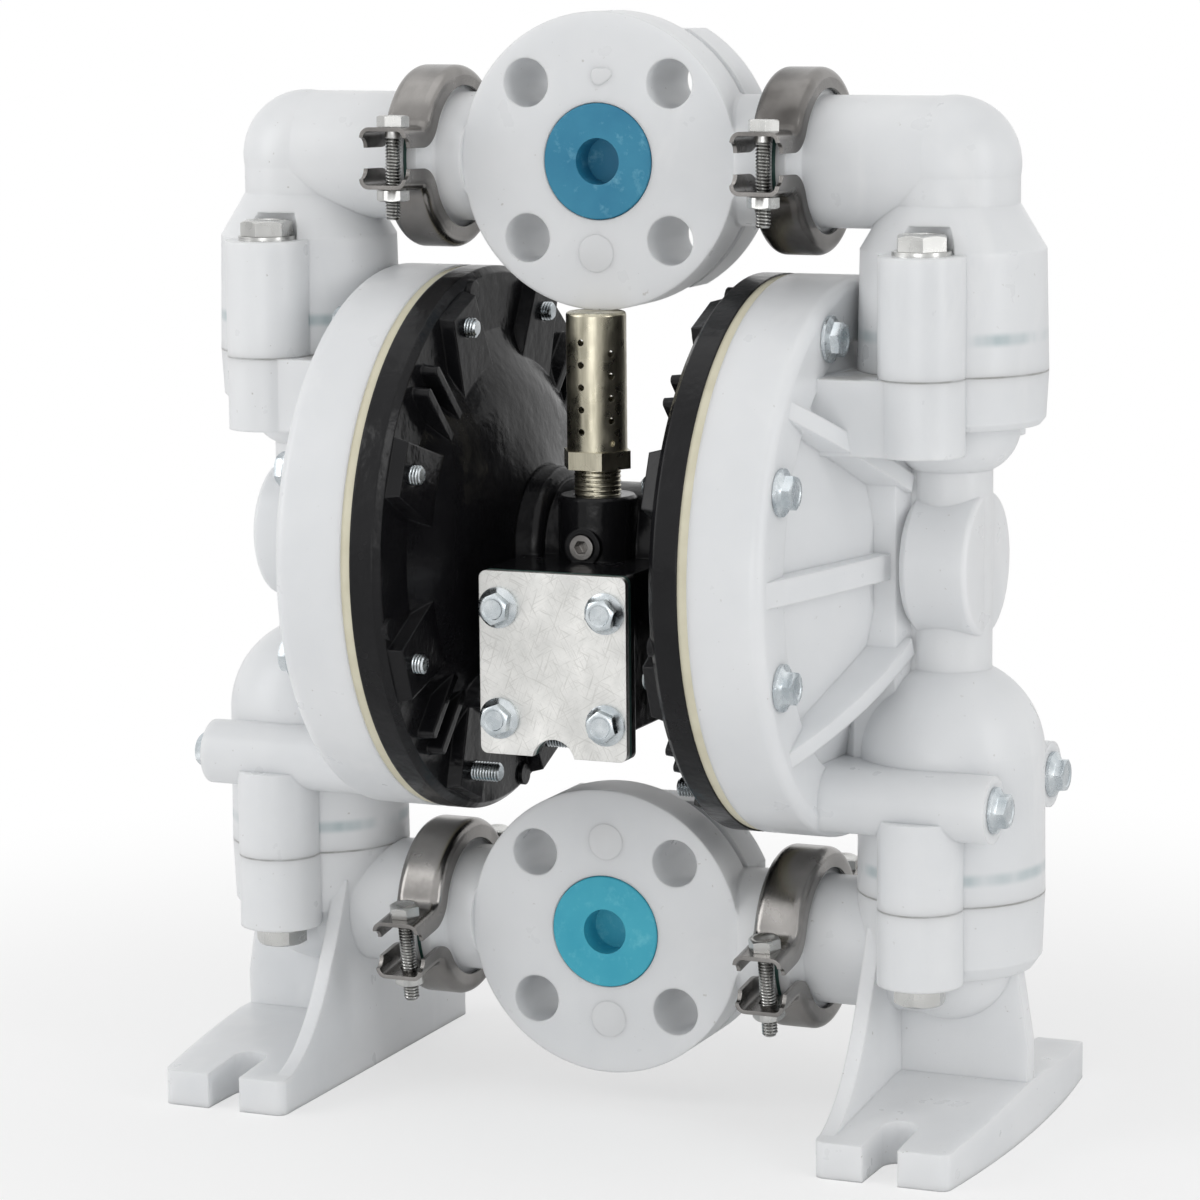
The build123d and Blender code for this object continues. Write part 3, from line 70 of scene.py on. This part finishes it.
# ------------------------------------------------------------------ materials
class Look:
    """A procedural material: a Principled shader with helpers for the textures that feed it."""

    def __init__(self, name, **sockets):
        self.material = bpy.data.materials.new(name)
        self.material.use_nodes = True
        self.tree = self.material.node_tree
        self.shader = self.tree.nodes["Principled BSDF"]
        self.coords = self.tree.nodes.new("ShaderNodeTexCoord").outputs["Object"]
        for socket, value in sockets.items():
            self.shader.inputs[socket.replace("_", " ")].default_value = value

    def add(self, kind, **settings):
        node = self.tree.nodes.new(kind)
        for key, value in settings.items():
            setattr(node, key, value)
        return node

    def link(self, source, target):
        self.tree.links.new(source, target)

    def stretched(self, scale, turn=(0, 0, 0)):
        """Coordinates that are turned first and then stretched, so that streaks can run at any angle."""
        turned_coords = self.add("ShaderNodeMapping")
        turned_coords.inputs["Rotation"].default_value = turn
        self.link(self.coords, turned_coords.inputs["Vector"])
        mapping = self.add("ShaderNodeMapping")
        mapping.inputs["Scale"].default_value = scale
        self.link(turned_coords.outputs["Vector"], mapping.inputs["Vector"])
        return mapping.outputs["Vector"]

    def noise(self, scale, detail=3.0, rough=0.5, vector=None, distort=0.0):
        node = self.add("ShaderNodeTexNoise")
        node.inputs["Scale"].default_value = scale
        node.inputs["Detail"].default_value = detail
        node.inputs["Roughness"].default_value = rough
        node.inputs["Distortion"].default_value = distort
        self.link(vector or self.coords, node.inputs["Vector"])
        return node.outputs["Fac"]

    def span(self, source, low, high, to_low=0.0, to_high=1.0, smooth=False):
        node = self.add("ShaderNodeMapRange")
        if smooth:
            node.interpolation_type = "SMOOTHSTEP"
        node.inputs["From Min"].default_value = low
        node.inputs["From Max"].default_value = high
        node.inputs["To Min"].default_value = to_low
        node.inputs["To Max"].default_value = to_high
        self.link(source, node.inputs["Value"])
        return node.outputs["Result"]

    def math(self, operation, first, second=None):
        node = self.add("ShaderNodeMath", operation=operation)
        for index, value in enumerate((first, second)):
            if value is None:
                continue
            if isinstance(value, (int, float)):
                node.inputs[index].default_value = value
            else:
                self.link(value, node.inputs[index])
        return node.outputs[0]

    def blend(self, factor, first, second):
        node = self.add("ShaderNodeMix", data_type="RGBA")
        self.link(factor, node.inputs["Factor"])
        for value, socket in ((first, node.inputs["A"]), (second, node.inputs["B"])):
            if isinstance(value, tuple):
                socket.default_value = (*value, 1.0)
            else:
                self.link(value, socket)
        return node.outputs["Result"]

    def axis(self, name):
        node = self.add("ShaderNodeSeparateXYZ")
        self.link(self.coords, node.inputs[0])
        return node.outputs[name]

    def colour(self, source):
        self.link(source, self.shader.inputs["Base Color"])

    def roughness(self, source):
        self.link(source, self.shader.inputs["Roughness"])

    def surface(self, *layers, bevel=0.0):
        """Stack of bumps, each (height source, depth in metres), over edges softened by bevel."""
        normal = None
        if bevel:
            node = self.add("ShaderNodeBevel", samples=6)
            node.inputs["Radius"].default_value = bevel
            normal = node.outputs["Normal"]
        for source, depth in layers:
            node = self.add("ShaderNodeBump")
            node.inputs["Distance"].default_value = depth
            self.link(source, node.inputs["Height"])
            if normal:
                self.link(normal, node.inputs["Normal"])
            normal = node.outputs["Normal"]
        self.link(normal, self.shader.inputs["Normal"])


UPPER_PARTING = AXIS_Z + 74.5
LOWER_PARTING = AXIS_Z - 128.0
SEAL_LINES = (AXIS_Z + 88.5, AXIS_Z - 117.5)
COLUMN_INNER_X = 101.0  # parting lines run outboard of this plane
COLUMN_R = 37.3


def polypropylene():
    look = Look("natural_polypropylene", Subsurface_Weight=0.6, Subsurface_Scale=0.007, IOR=1.49)
    look.shader.inputs["Subsurface Radius"].default_value = (1.0, 1.0, 1.0)
    cloud = look.noise(11, 4, 0.6)
    fine = look.noise(70, 4)
    flow = look.noise(26, 4, 0.6, look.stretched((1, 1, 0.35)), 0.8)
    base = look.blend(look.span(cloud, 0.32, 0.68), (0.73, 0.745, 0.76), (0.80, 0.81, 0.82))
    base = look.blend(look.span(flow, 0.55, 0.75, 0.0, 0.45, smooth=True), base, (0.85, 0.855, 0.86))
    # seals that show through the wall of the valve columns
    height = look.axis("Z")
    sideways = look.math("SUBTRACT", look.math("ABSOLUTE", look.axis("X")), ELBOW_X * MM)
    depth = look.axis("Y")
    reach = look.math("SQRT", look.math("ADD", look.math("POWER", sideways, 2), look.math("POWER", depth, 2)))
    on_column = look.math("LESS_THAN", reach, COLUMN_R * MM)
    patchy = look.span(look.noise(38, 3, 0.6, look.stretched((1, 1, 0.2))), 0.38, 0.62)
    for level in SEAL_LINES:
        off = look.math("ABSOLUTE", look.math("SUBTRACT", height, level * MM))
        band = look.math("MULTIPLY", look.span(off, 0.6 * MM, 3.4 * MM, 0.62, 0.0, smooth=True), patchy)
        base = look.blend(look.math("MULTIPLY", band, on_column), base, (0.30, 0.41, 0.43))
    # dust in the parting lines between the valve columns and the elbows
    outboard = look.math("GREATER_THAN", sideways, (COLUMN_INNER_X - ELBOW_X) * MM)
    for level in (UPPER_PARTING, LOWER_PARTING):
        off = look.math("ABSOLUTE", look.math("SUBTRACT", height, level * MM))
        line = look.math("MULTIPLY", look.span(off, 0.15 * MM, 0.55 * MM, 0.6, 0.0), look.span(fine, 0.35, 0.6))
        base = look.blend(look.math("MULTIPLY", line, outboard), base, (0.36, 0.35, 0.32))
    specks = look.math("MULTIPLY", look.span(look.noise(420, 2, 0.4), 0.74, 0.78), look.span(cloud, 0.45, 0.6))
    base = look.blend(look.math("MULTIPLY", specks, 0.55), base, (0.36, 0.34, 0.30))
    look.colour(base)
    look.roughness(look.span(fine, 0.3, 0.7, 0.27, 0.40))
    ripple = look.noise(24, 2)
    look.surface((ripple, 0.0006), (flow, 0.00010), (look.noise(600, 2), 0.00002), bevel=0.0012)
    return look.material


def black_casting():
    look = Look("black_coated_casting", Specular_IOR_Level=0.22)
    look.colour(look.blend(look.noise(60, 3), (0.004, 0.004, 0.005), (0.011, 0.011, 0.012)))
    look.roughness(look.span(look.noise(45, 3), 0.3, 0.7, 0.16, 0.28))
    look.surface((look.noise(70, 3), 0.0007), (look.noise(260, 3), 0.00015), bevel=0.0011)
    return look.material


def steel(name, dark, light, rough, grain=(1, 1, 1), grain_depth=0.00002, blotch=30, bevel=0.0004, threaded=False):
    look = Look(name, Metallic=1.0)
    base = look.blend(look.span(look.noise(blotch, 4), 0.3, 0.7), dark, light)
    if threaded:
        # threaded pieces get painted shade, darker towards the thread roots, in place of the shade inside the
        # grooves
        groove_shade = look.add("ShaderNodeAttribute", attribute_name="groove_shade").outputs["Fac"]
        base = look.blend(look.span(groove_shade, 0.25, 0.85, 0.0, 0.88), base, (0.05, 0.05, 0.048))
    look.colour(base)
    look.roughness(look.span(look.noise(blotch * 4, 4), 0.25, 0.75, *rough))
    look.surface((look.noise(500, 3, vector=look.stretched(grain)), grain_depth), bevel=bevel)
    return look.material


def scratched_plate():
    look = Look("scratched_zinc_plate", Metallic=1.0)
    cloud = look.noise(55, 6, 0.65)
    crossed = None
    for angle in (0.5, 1.15, 2.1, 2.8):
        lines = look.noise(280, 3, 0.6, look.stretched((5, 1, 0.3), (0, angle, 0)))
        lines = look.span(lines, 0.585, 0.66)
        crossed = lines if crossed is None else look.math("MAXIMUM", crossed, lines)
    base = look.blend(look.span(cloud, 0.35, 0.7), (0.70, 0.70, 0.68), (0.90, 0.895, 0.87))
    look.colour(look.blend(look.math("MULTIPLY", crossed, 0.5), base, (0.52, 0.515, 0.49)))
    look.roughness(look.span(cloud, 0.3, 0.7, 0.30, 0.46))
    look.surface((crossed, 0.00001), (look.noise(300, 3), 0.000015), bevel=0.0004)
    return look.material


def yellow_passivated():
    look = Look("yellow_passivated_steel", Metallic=1.0)
    runs = look.noise(40, 4, 0.6, look.stretched((4, 4, 0.5)))
    look.colour(look.blend(look.span(runs, 0.3, 0.7), (0.31, 0.29, 0.22), (0.68, 0.64, 0.51)))
    look.roughness(look.span(look.noise(150, 3), 0.3, 0.7, 0.22, 0.38))
    look.surface((look.noise(260, 3), 0.00003), bevel=0.0001)
    return look.material


def teal_plastic(name, deep, pale, chalk, chalky):
    look = Look(name, IOR=1.5)
    scuffs = look.noise(140, 6, 0.7)
    cloud = look.noise(45, 4)
    body = look.blend(look.span(cloud, 0.3, 0.7), deep, pale)
    look.colour(look.blend(look.span(scuffs, 0.54, 0.74, 0.0, chalky), body, chalk))
    look.roughness(look.span(scuffs, 0.3, 0.7, 0.45, 0.62))
    look.surface((scuffs, 0.00012), bevel=0.0004)
    return look.material


def rubber(name, dark, light, rough=(0.5, 0.7), bevel=0.0003):
    look = Look(name)
    look.colour(look.blend(look.noise(90, 4), dark, light))
    look.roughness(look.span(look.noise(160, 3), 0.3, 0.7, *rough))
    look.surface((look.noise(350, 3), 0.00006), bevel=bevel)
    return look.material


PLASTIC = polypropylene()
BLACK = black_casting()
PALE_PLASTIC = rubber("cut_polypropylene", (0.68, 0.69, 0.70), (0.73, 0.74, 0.75), (0.30, 0.42))
CLAMP_STEEL = steel("brushed_stainless", (0.085, 0.08, 0.076), (0.42, 0.405, 0.39), (0.17, 0.30),
                    grain=(7, 1, 1), grain_depth=0.00004, blotch=22)
BOLT_STEEL = steel("bright_stainless", (0.46, 0.46, 0.45), (0.74, 0.74, 0.72), (0.20, 0.34), grain_depth=0.000008,
                   bevel=0.00012, threaded=True)
ZINC = steel("blue_zinc", (0.46, 0.51, 0.54), (0.76, 0.80, 0.82), (0.18, 0.36), grain_depth=0.000012,
             blotch=120, bevel=0.00012, threaded=True)
PLATE = scratched_plate()
YELLOW = yellow_passivated()
BRASS = steel("turned_brass", (0.60, 0.42, 0.16), (0.80, 0.62, 0.30), (0.2, 0.35))
TEAL = teal_plastic("teal_polyethylene", (0.014, 0.185, 0.32), (0.030, 0.24, 0.38), (0.17, 0.44, 0.57), 0.75)
BRIGHT_TEAL = teal_plastic("bright_teal_polyethylene", (0.030, 0.36, 0.50), (0.055, 0.43, 0.56),
                           (0.15, 0.56, 0.66), 0.7)
GREEN = rubber("green_rubber", (0.012, 0.050, 0.042), (0.025, 0.085, 0.070))
IVORY = rubber("ivory_rubber", (0.58, 0.54, 0.40), (0.76, 0.73, 0.58), bevel=0.0)
MACHINED = steel("machined_aluminium", (0.62, 0.62, 0.63), (0.82, 0.82, 0.83), (0.25, 0.40))
INNER = rubber("moulded_inner_plastic", (0.70, 0.71, 0.70), (0.82, 0.83, 0.82), (0.3, 0.45))
PTFE = rubber("smooth_ptfe", (0.84, 0.84, 0.82), (0.90, 0.90, 0.88), (0.25, 0.35))

SLOT_LOOKS = {
    "polypropylene_natural": PLASTIC,
    "aluminium_black_coated": BLACK,
    "stainless_steel": CLAMP_STEEL,
    "steel_zinc_plated": ZINC,
    "steel_yellow_passivated": YELLOW,
    "brass": BRASS,
    "rubber_green": GREEN,
    "diaphragm_ivory": IVORY,
    "aluminium_plain": MACHINED,
    "plastic_inner": INNER,
    "ptfe_white": PTFE,
    "polyethylene_teal": TEAL,
}
NODE_LOOKS = {
    "valve_cover_plate": PLATE,
    "elbow_bolts": BOLT_STEEL,
    "elbow_washers": BOLT_STEEL,
    "clamp_bolts": BOLT_STEEL,
    "clamp_nuts": BOLT_STEEL,
    "port_plug_lower": BRIGHT_TEAL,
    "socket_plug": CLAMP_STEEL,
}


def wear(obj, material):
    obj.data.materials.clear()
    obj.data.materials.append(material)


for part in frame["record"]["subparts"]:
    node = part["node"]
    wear(NODES[node], NODE_LOOKS.get(node, SLOT_LOOKS[part["material_slot"]]))


# ------------------------------------------------------------------ fasteners
SIDES = 36


def turned(rings):
    """Closed polar mesh: each ring is a function of the angle that gives radius, height and, in a thread, the
    painted shade of its groove.
    """
    form = bmesh.new()
    # per-vertex painted shade for the thread grooves, 1 at the root
    groove_shade = form.verts.layers.float.new("groove_shade")
    loops = []
    for ring in rings:
        loop = []
        for i in range(SIDES):
            angle = 2 * math.pi * i / SIDES
            radius, height, *groove_shade_level = ring(angle)
            vertex = form.verts.new((radius * math.cos(angle), radius * math.sin(angle), height))
            vertex[groove_shade] = groove_shade_level[0] if groove_shade_level else 0.0
            loop.append(vertex)
        loops.append(loop)
    for low, high in zip(loops, loops[1:]):
        for i in range(SIDES):
            j = (i + 1) % SIDES
            form.faces.new((low[i], low[j], high[j], high[i]))
    form.faces.new(reversed(loops[0]))
    form.faces.new(loops[-1])
    bmesh.ops.recalc_face_normals(form, faces=form.faces)
    return form


def circle(radius, height):
    return lambda angle: (radius, height)


def hexagon(flats, height, chamfer_r=None):
    """Ring on a hexagon; with chamfer_r it follows the edge that a 30 degree chamfer cuts on the flats."""

    def ring(angle):
        radius = flats / 2 / math.cos((angle + math.pi / 6) % (math.pi / 3) - math.pi / 6)
        drop = max(0.0, radius - chamfer_r) * math.tan(math.radians(30)) if chamfer_r else 0.0
        return radius, height - drop

    return ring


def thread(radius, depth, pitch, start, end):
    """Rings down a helical thread from start to end, with painted shade that is darkest at the root."""

    def ring_at(height):
        def ring(angle):
            root = abs(2 * ((height / pitch + angle / (2 * math.pi)) % 1.0) - 1)
            return radius - depth * root, height, root

        return ring

    steps = max(2, int(abs(start - end) / pitch * 6))
    return [ring_at(start + (end - start) * k / steps) for k in range(steps + 1)]


def bolt_rings(flats, head, shank_r, length, thread_length, pitch, flange_r=0.0, dish=0.35, foot=0.0):
    """Hex screw along +Z with its bearing face at z = 0, as rings from the head's top to the point."""
    crown = flats / 2 * 0.95
    rings = [circle(crown * 0.12, head - dish), circle(crown * 0.72, head - dish), circle(crown * 0.80, head)]
    rings += [circle(crown, head), hexagon(flats, head, crown)]
    if flange_r:
        rings += [hexagon(flats, 3.0), hexagon(flats * 1.02, 2.8), circle(flange_r, 1.5), circle(flange_r, 0.2)]
        rings += [circle(flange_r - 0.4, 0)]
    else:
        rings += [hexagon(flats, foot + 0.1), circle(flats / 2 * 0.97, foot), circle(flats / 2 * 0.97, 0)]
    rings += [circle(shank_r, 0), circle(shank_r, -(length - thread_length))]
    rings += thread(shank_r, pitch * 0.6, pitch, -(length - thread_length) - 0.3, -length + 0.8)
    rings += [circle(shank_r * 0.72, -length + 0.05), circle(shank_r * 0.1, -length)]
    return rings


def nut_rings(flats, height, hole_r):
    crown = flats / 2 * 0.96
    return [
        circle(hole_r, 0), circle(crown, 0), hexagon(flats, 0.5), hexagon(flats, height, crown),
        circle(crown, height), circle(hole_r + 0.5, height), circle(hole_r, height - 0.4),
    ]


def frame_at(origin, direction, turn=0.0):
    """Matrix that stands a piece's +Z along direction at origin, both in millimetres."""
    rotation = Vector(direction).to_track_quat("Z", "Y").to_matrix().to_4x4()
    return Matrix.Translation(Vector(origin) * MM) @ rotation @ Matrix.Rotation(turn, 4, "Z") @ Matrix.Scale(MM, 4)


def copies(name, rings, places, material, node=None, body=BODY, smooth_angle=35):
    """One object made of the turned form at each place; it stands for a CAD node if one is named."""
    template = turned(rings)
    whole = bmesh.new()
    blank = bpy.data.meshes.new(name + "_template")
    template.to_mesh(blank)
    template.free()
    for place in places:
        start = len(whole.verts)
        whole.from_mesh(blank)
        whole.verts.ensure_lookup_table()
        bmesh.ops.transform(whole, matrix=place, verts=whole.verts[start:])
    mesh = bpy.data.meshes.new(name)
    whole.to_mesh(mesh)
    whole.free()
    bpy.data.meshes.remove(blank)
    mesh.shade_smooth()
    mesh.set_sharp_from_angle(angle=math.radians(smooth_angle))
    obj = bpy.data.objects.new(name, mesh)
    bpy.context.scene.collection.objects.link(obj)
    wear(obj, material)
    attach(obj, body)
    if node:
        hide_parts(node)
    return obj


def ring_spot(index):
    angle = math.radians(CAP_BOLT_START + 45 * index)
    return CAP_BOLT_R * math.cos(angle), AXIS_Z + CAP_BOLT_R * math.sin(angle)


FLUID_RIM_X = 100.0
LONG_BOSS_X = 166.0
CAP_THREAD_END = 45.5
LONG_THREAD_END = 38.0
LONG_BOLTS = (5, 6)
rng = random.Random(7)


def housing_bolts():
    short, long = [], []
    for side in (-1, 1):
        for index in range(8):
            y, z = ring_spot(index)
            seat = LONG_BOSS_X if index in LONG_BOLTS else FLUID_RIM_X
            place = frame_at((side * seat, y, z), (side, 0, 0), rng.uniform(0, math.pi))
            (long if index in LONG_BOLTS else short).append(place)
    copies("housing_screws_short", bolt_rings(12, 6.4, 3.9, FLUID_RIM_X - CAP_THREAD_END, 22, 1.25, 9.0),
           short, ZINC, "housing_bolts_short")
    copies("housing_screws_long", bolt_rings(12, 6.4, 3.9, LONG_BOSS_X - LONG_THREAD_END, 28, 1.25, 9.0),
           long, ZINC, "housing_bolts_long")


def cover_bolts():
    places = [
        frame_at((x, PLATE_FACE_Y, AXIS_Z + drop), (0, -1, 0), rng.uniform(0, math.pi))
        for x in (-22.2, 22.2) for drop in (-15.6, -58.8)
    ]
    copies("cover_screws", bolt_rings(11, 6.4, 3.0, 13, 8, 1.0, 8.0), places, ZINC, "cover_bolts")


EAR_RISE = 12.0
EAR_BOLT = 44.5
CLAMP_TILTS = ((UPPER_Z, -1.9), (LOWER_Z, 8.5))


def clamp_bolts():
    heads, nuts = [], []
    for z, tilt in CLAMP_TILTS:
        along = Vector((0, math.cos(math.radians(tilt)), math.sin(math.radians(tilt))))
        up = Vector((0, -along.z, along.y))
        for x in (-CLAMP_X, CLAMP_X):
            for side in (-1, 1):
                middle = Vector((x, 0, z)) + along * side * EAR_BOLT
                heads.append(frame_at(middle + up * EAR_RISE, up, rng.uniform(0, math.pi)))
                nuts.append(frame_at(middle - up * EAR_RISE, -up, rng.uniform(0, math.pi)))
    copies("clamp_screws", bolt_rings(11, 4.6, 3.2, 2 * EAR_RISE + 12, 2 * EAR_RISE + 8, 1.27, dish=0.2), heads,
           BOLT_STEEL, "clamp_bolts")
    copies("clamp_screw_nuts", nut_rings(11, 4.8, 3.2), nuts, BOLT_STEEL, "clamp_nuts")


UPPER_BOSS_TOP = AXIS_Z + 120.5
LOWER_BOSS_BOTTOM = AXIS_Z - 157.5
WASHER_T = 1.6


def elbow_bolts():
    up, down = [], []
    for x in (-ELBOW_X, ELBOW_X):
        for y in (-BOSS_Y, BOSS_Y):
            up.append(frame_at((x, y, UPPER_BOSS_TOP + WASHER_T), (0, 0, 1), rng.uniform(0, math.pi)))
            down.append(frame_at((x, y, LOWER_BOSS_BOTTOM - WASHER_T), (0, 0, -1), rng.uniform(0, math.pi)))
    copies("elbow_screws_upper", bolt_rings(18, 6.3, 4.9, 61, 20, 1.5, dish=0.5), up, BOLT_STEEL, "elbow_bolts")
    copies("elbow_screws_lower", bolt_rings(18, 6.3, 4.9, 44.5, 20, 1.5, dish=0.5), down, BOLT_STEEL)


housing_bolts()
cover_bolts()
clamp_bolts()
elbow_bolts()
copies("silencer_thread", [circle(8.6, 23.6)] + thread(9.3, 0.75, 1.8, 23.6, 33.9) + [circle(8.6, 33.9)],
       [frame_at((0, MUFFLER_Y, AXIS_Z), (0, 0, 1))], YELLOW)


# ------------------------------------------------------------------ diaphragms cut into a bead ring and web sectors
SECTORS = 8  # cuts fall between the bolt holes
BEAD_INNER_R = 83.8  # just inside the bead's own 84 mm edge


def radius_of(vertex):
    return math.hypot(vertex.co.y, vertex.co.z - AXIS_Z * MM) / MM


def half_of(node, outer):
    """The node's mesh outside or inside the radius where its bead begins, closed by a wall there."""
    source = NODES[node]
    form = bmesh.new()
    form.from_mesh(source.data)
    form.transform(source.matrix_world)
    bmesh.ops.remove_doubles(form, verts=form.verts, dist=1e-6)
    other = [face for face in form.faces if all(radius_of(v) > BEAD_INNER_R for v in face.verts) != outer]
    bmesh.ops.delete(form, geom=other, context="FACES")
    bmesh.ops.bridge_loops(form, edges=[edge for edge in form.edges if edge.is_boundary])
    return form


def cut_sector(form, start, end):
    """Keep what lies between two planes through the shaft, and close the cuts."""
    for angle, keep in ((start, 1), (end, -1)):
        normal = Vector((0, -math.sin(angle), math.cos(angle))) * keep
        cut = bmesh.ops.bisect_plane(
            form, geom=form.verts[:] + form.edges[:] + form.faces[:], dist=1e-7,
            plane_co=(0, 0, AXIS_Z * MM), plane_no=normal, clear_inner=True,
        )
        edges = [item for item in cut["geom_cut"] if isinstance(item, bmesh.types.BMEdge)]
        bmesh.ops.triangle_fill(form, edges=edges)


def ivory_piece(name, form):
    bmesh.ops.recalc_face_normals(form, faces=form.faces)
    mesh = bpy.data.meshes.new(name)
    form.to_mesh(mesh)
    form.free()
    mesh.shade_smooth()
    mesh.set_sharp_from_angle(angle=math.radians(35))
    obj = bpy.data.objects.new(name, mesh)
    bpy.context.scene.collection.objects.link(obj)
    wear(obj, IVORY)
    return obj


def flexing_diaphragm(node):
    """A bead ring attached to the pump body, and a web cut into sectors between planes through the shaft.
    """
    bead = ivory_piece(node + "_bead", half_of(node, True))
    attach(bead, BODY)
    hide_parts(node)
    for index in range(SECTORS):
        start, end = (2 * math.pi * (index + step) / SECTORS for step in (0, 1))
        form = half_of(node, False)
        cut_sector(form, start, end)
        web = ivory_piece(f"{node}_web_{index}", form)
        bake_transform(web)


flexing_diaphragm("diaphragm_left")
flexing_diaphragm("diaphragm_right")


# ------------------------------------------------------------------ marks of the mould on the port flanges
def ejector_marks():
    """Faint round steps on the flange faces, in millimetres from the flange's middle."""
    spots = []
    for z, x, rise in ((UPPER_Z, -1.0, -35.6), (LOWER_Z, 0.5, 36.5), (LOWER_Z, 1.2, -35.7)):
        spots.append(frame_at((x, FLANGE_FACE_Y, z + rise), (0, -1, 0)))
    disc = [circle(6.9, 0.12), circle(7.2, 0.03), circle(7.3, -0.4)]
    copies("ejector_marks", disc, spots, PALE_PLASTIC)


def gate_scar():
    """Heart-shaped stub where the sprue was cut off."""
    def outline(radius, height):
        def ring(angle):
            bulge = 1 + 0.16 * math.cos(2 * angle) - 0.22 * math.sin(angle) + 0.10 * math.cos(3 * angle)
            return radius * bulge, height
        return ring

    rings = [outline(2.7, 0.45), outline(3.3, 0.35), outline(3.7, 0.08), outline(3.9, -0.4)]
    copies("gate_scar", rings, [frame_at((1.4, FLANGE_FACE_Y, UPPER_Z + 33.5), (0, -1, 0), 0.2)], PALE_PLASTIC)


ejector_marks()
gate_scar()


# ------------------------------------------------------------------ floor, backdrop, light and camera
TARGET = Vector((-0.0105, 0.0, 0.2000))
DISTANCE = 1.6949
AZIMUTH, ELEVATION, ROLL = math.radians(23.34), math.radians(9.22), math.radians(-0.56)
FOCAL_PIXELS = 4254.9
FRAME_PIXELS = 1200.0
SENSOR = 36.0


def camera():
    back = Vector((
        math.sin(AZIMUTH) * math.cos(ELEVATION),
        -math.cos(AZIMUTH) * math.cos(ELEVATION),
        math.sin(ELEVATION),
    ))
    right = Vector((math.cos(AZIMUTH), math.sin(AZIMUTH), 0))
    up = back.cross(right)
    turned_right = right * math.cos(ROLL) + up * math.sin(ROLL)
    turned_up = up * math.cos(ROLL) - right * math.sin(ROLL)
    data = bpy.data.cameras.new("camera")
    data.sensor_width = SENSOR
    data.lens = FOCAL_PIXELS / FRAME_PIXELS * SENSOR
    data.clip_end = 50
    obj = bpy.data.objects.new("camera", data)
    obj.matrix_world = Matrix.Translation(TARGET + back * DISTANCE) @ Matrix(
        (turned_right, turned_up, back)
    ).transposed().to_4x4()
    bpy.context.scene.collection.objects.link(obj)
    bpy.context.scene.camera = obj


def area_light(name, place, aim, size, power):
    data = bpy.data.lights.new(name, "AREA")
    data.shape = "RECTANGLE"
    data.size, data.size_y = size
    data.energy = power
    obj = bpy.data.objects.new(name, data)
    obj.location = place
    obj.rotation_euler = (Vector(aim) - Vector(place)).to_track_quat("-Z", "Y").to_euler()
    bpy.context.scene.collection.objects.link(obj)


WORLD_LIGHT = 0.60  # on the object
WORLD_SEEN = 1.0    # by camera, glossy and transmission rays


def studio():
    area_light("left_softbox", (-1.5, -1.1, 1.0), (0, 0, 0.22), (0.9, 1.4), 9)
    area_light("right_softbox", (1.7, -0.5, 0.7), (0, 0, 0.22), (0.5, 1.4), 6)
    area_light("top_softbox", (0.0, 0.1, 1.7), (0, 0, 0.2), (1.4, 1.2), 2.5)
    area_light("front_fill", (0.3, -2.3, 0.30), (0, 0, 0.15), (1.2, 0.5), 5)
    world = bpy.data.worlds.new("studio")
    world.use_nodes = True
    tree = world.node_tree
    background = tree.nodes["Background"]
    paths = tree.nodes.new("ShaderNodeLightPath")
    seen = paths.outputs["Is Camera Ray"]
    for kind in ("Is Glossy Ray", "Is Transmission Ray"):
        either = tree.nodes.new("ShaderNodeMath")
        either.operation = "MAXIMUM"
        tree.links.new(seen, either.inputs[0])
        tree.links.new(paths.outputs[kind], either.inputs[1])
        seen = either.outputs[0]
    strength = tree.nodes.new("ShaderNodeMapRange")
    strength.inputs["To Min"].default_value = WORLD_LIGHT
    strength.inputs["To Max"].default_value = WORLD_SEEN
    tree.links.new(seen, strength.inputs["Value"])
    background.inputs["Color"].default_value = (1, 1, 1, 1)
    tree.links.new(strength.outputs["Result"], background.inputs["Strength"])
    bpy.context.scene.world = world


FLOOR_RADII = (0.0, 0.4, 1.0, 3.0, 12.0)
FLOOR_SIDES = 48


def floor():
    """Pale floor that fades to plain white away from the pump."""
    mesh = bpy.data.meshes.new("floor")
    form = bmesh.new()
    rings = []
    for radius in FLOOR_RADII:
        count = 1 if radius == 0 else FLOOR_SIDES
        step = 2 * math.pi / FLOOR_SIDES
        rings.append([
            form.verts.new((radius * math.cos(step * i), radius * math.sin(step * i), 0)) for i in range(count)
        ])
    for i in range(FLOOR_SIDES):
        form.faces.new((rings[0][0], rings[1][i], rings[1][(i + 1) % FLOOR_SIDES]))
    for inner, outer in zip(rings[1:], rings[2:]):
        for i in range(FLOOR_SIDES):
            j = (i + 1) % FLOOR_SIDES
            form.faces.new((inner[i], outer[i], outer[j], inner[j]))
    form.to_mesh(mesh)
    form.free()
    obj = bpy.data.objects.new("floor", mesh)
    bpy.context.scene.collection.objects.link(obj)
    look = Look("white_floor", Roughness=0.9)
    look.colour(look.blend(look.noise(4, 2), (0.90, 0.90, 0.90), (0.93, 0.93, 0.93)))
    distance = look.add("ShaderNodeVectorMath", operation="LENGTH")
    look.link(look.coords, distance.inputs[0])
    far = look.span(distance.outputs["Value"], 0.22, 0.62, 0.55, 1.0, smooth=True)
    paths = look.add("ShaderNodeLightPath")
    white = look.add("ShaderNodeEmission")
    mix = look.add("ShaderNodeMixShader")
    look.link(look.math("MULTIPLY", far, paths.outputs["Is Camera Ray"]), mix.inputs[0])
    look.link(look.shader.outputs[0], mix.inputs[1])
    look.link(white.outputs[0], mix.inputs[2])
    look.link(mix.outputs[0], look.tree.nodes["Material Output"].inputs["Surface"])
    wear(obj, look.material)


camera()
studio()
floor()
bpy.context.scene.view_settings.view_transform = "Standard"
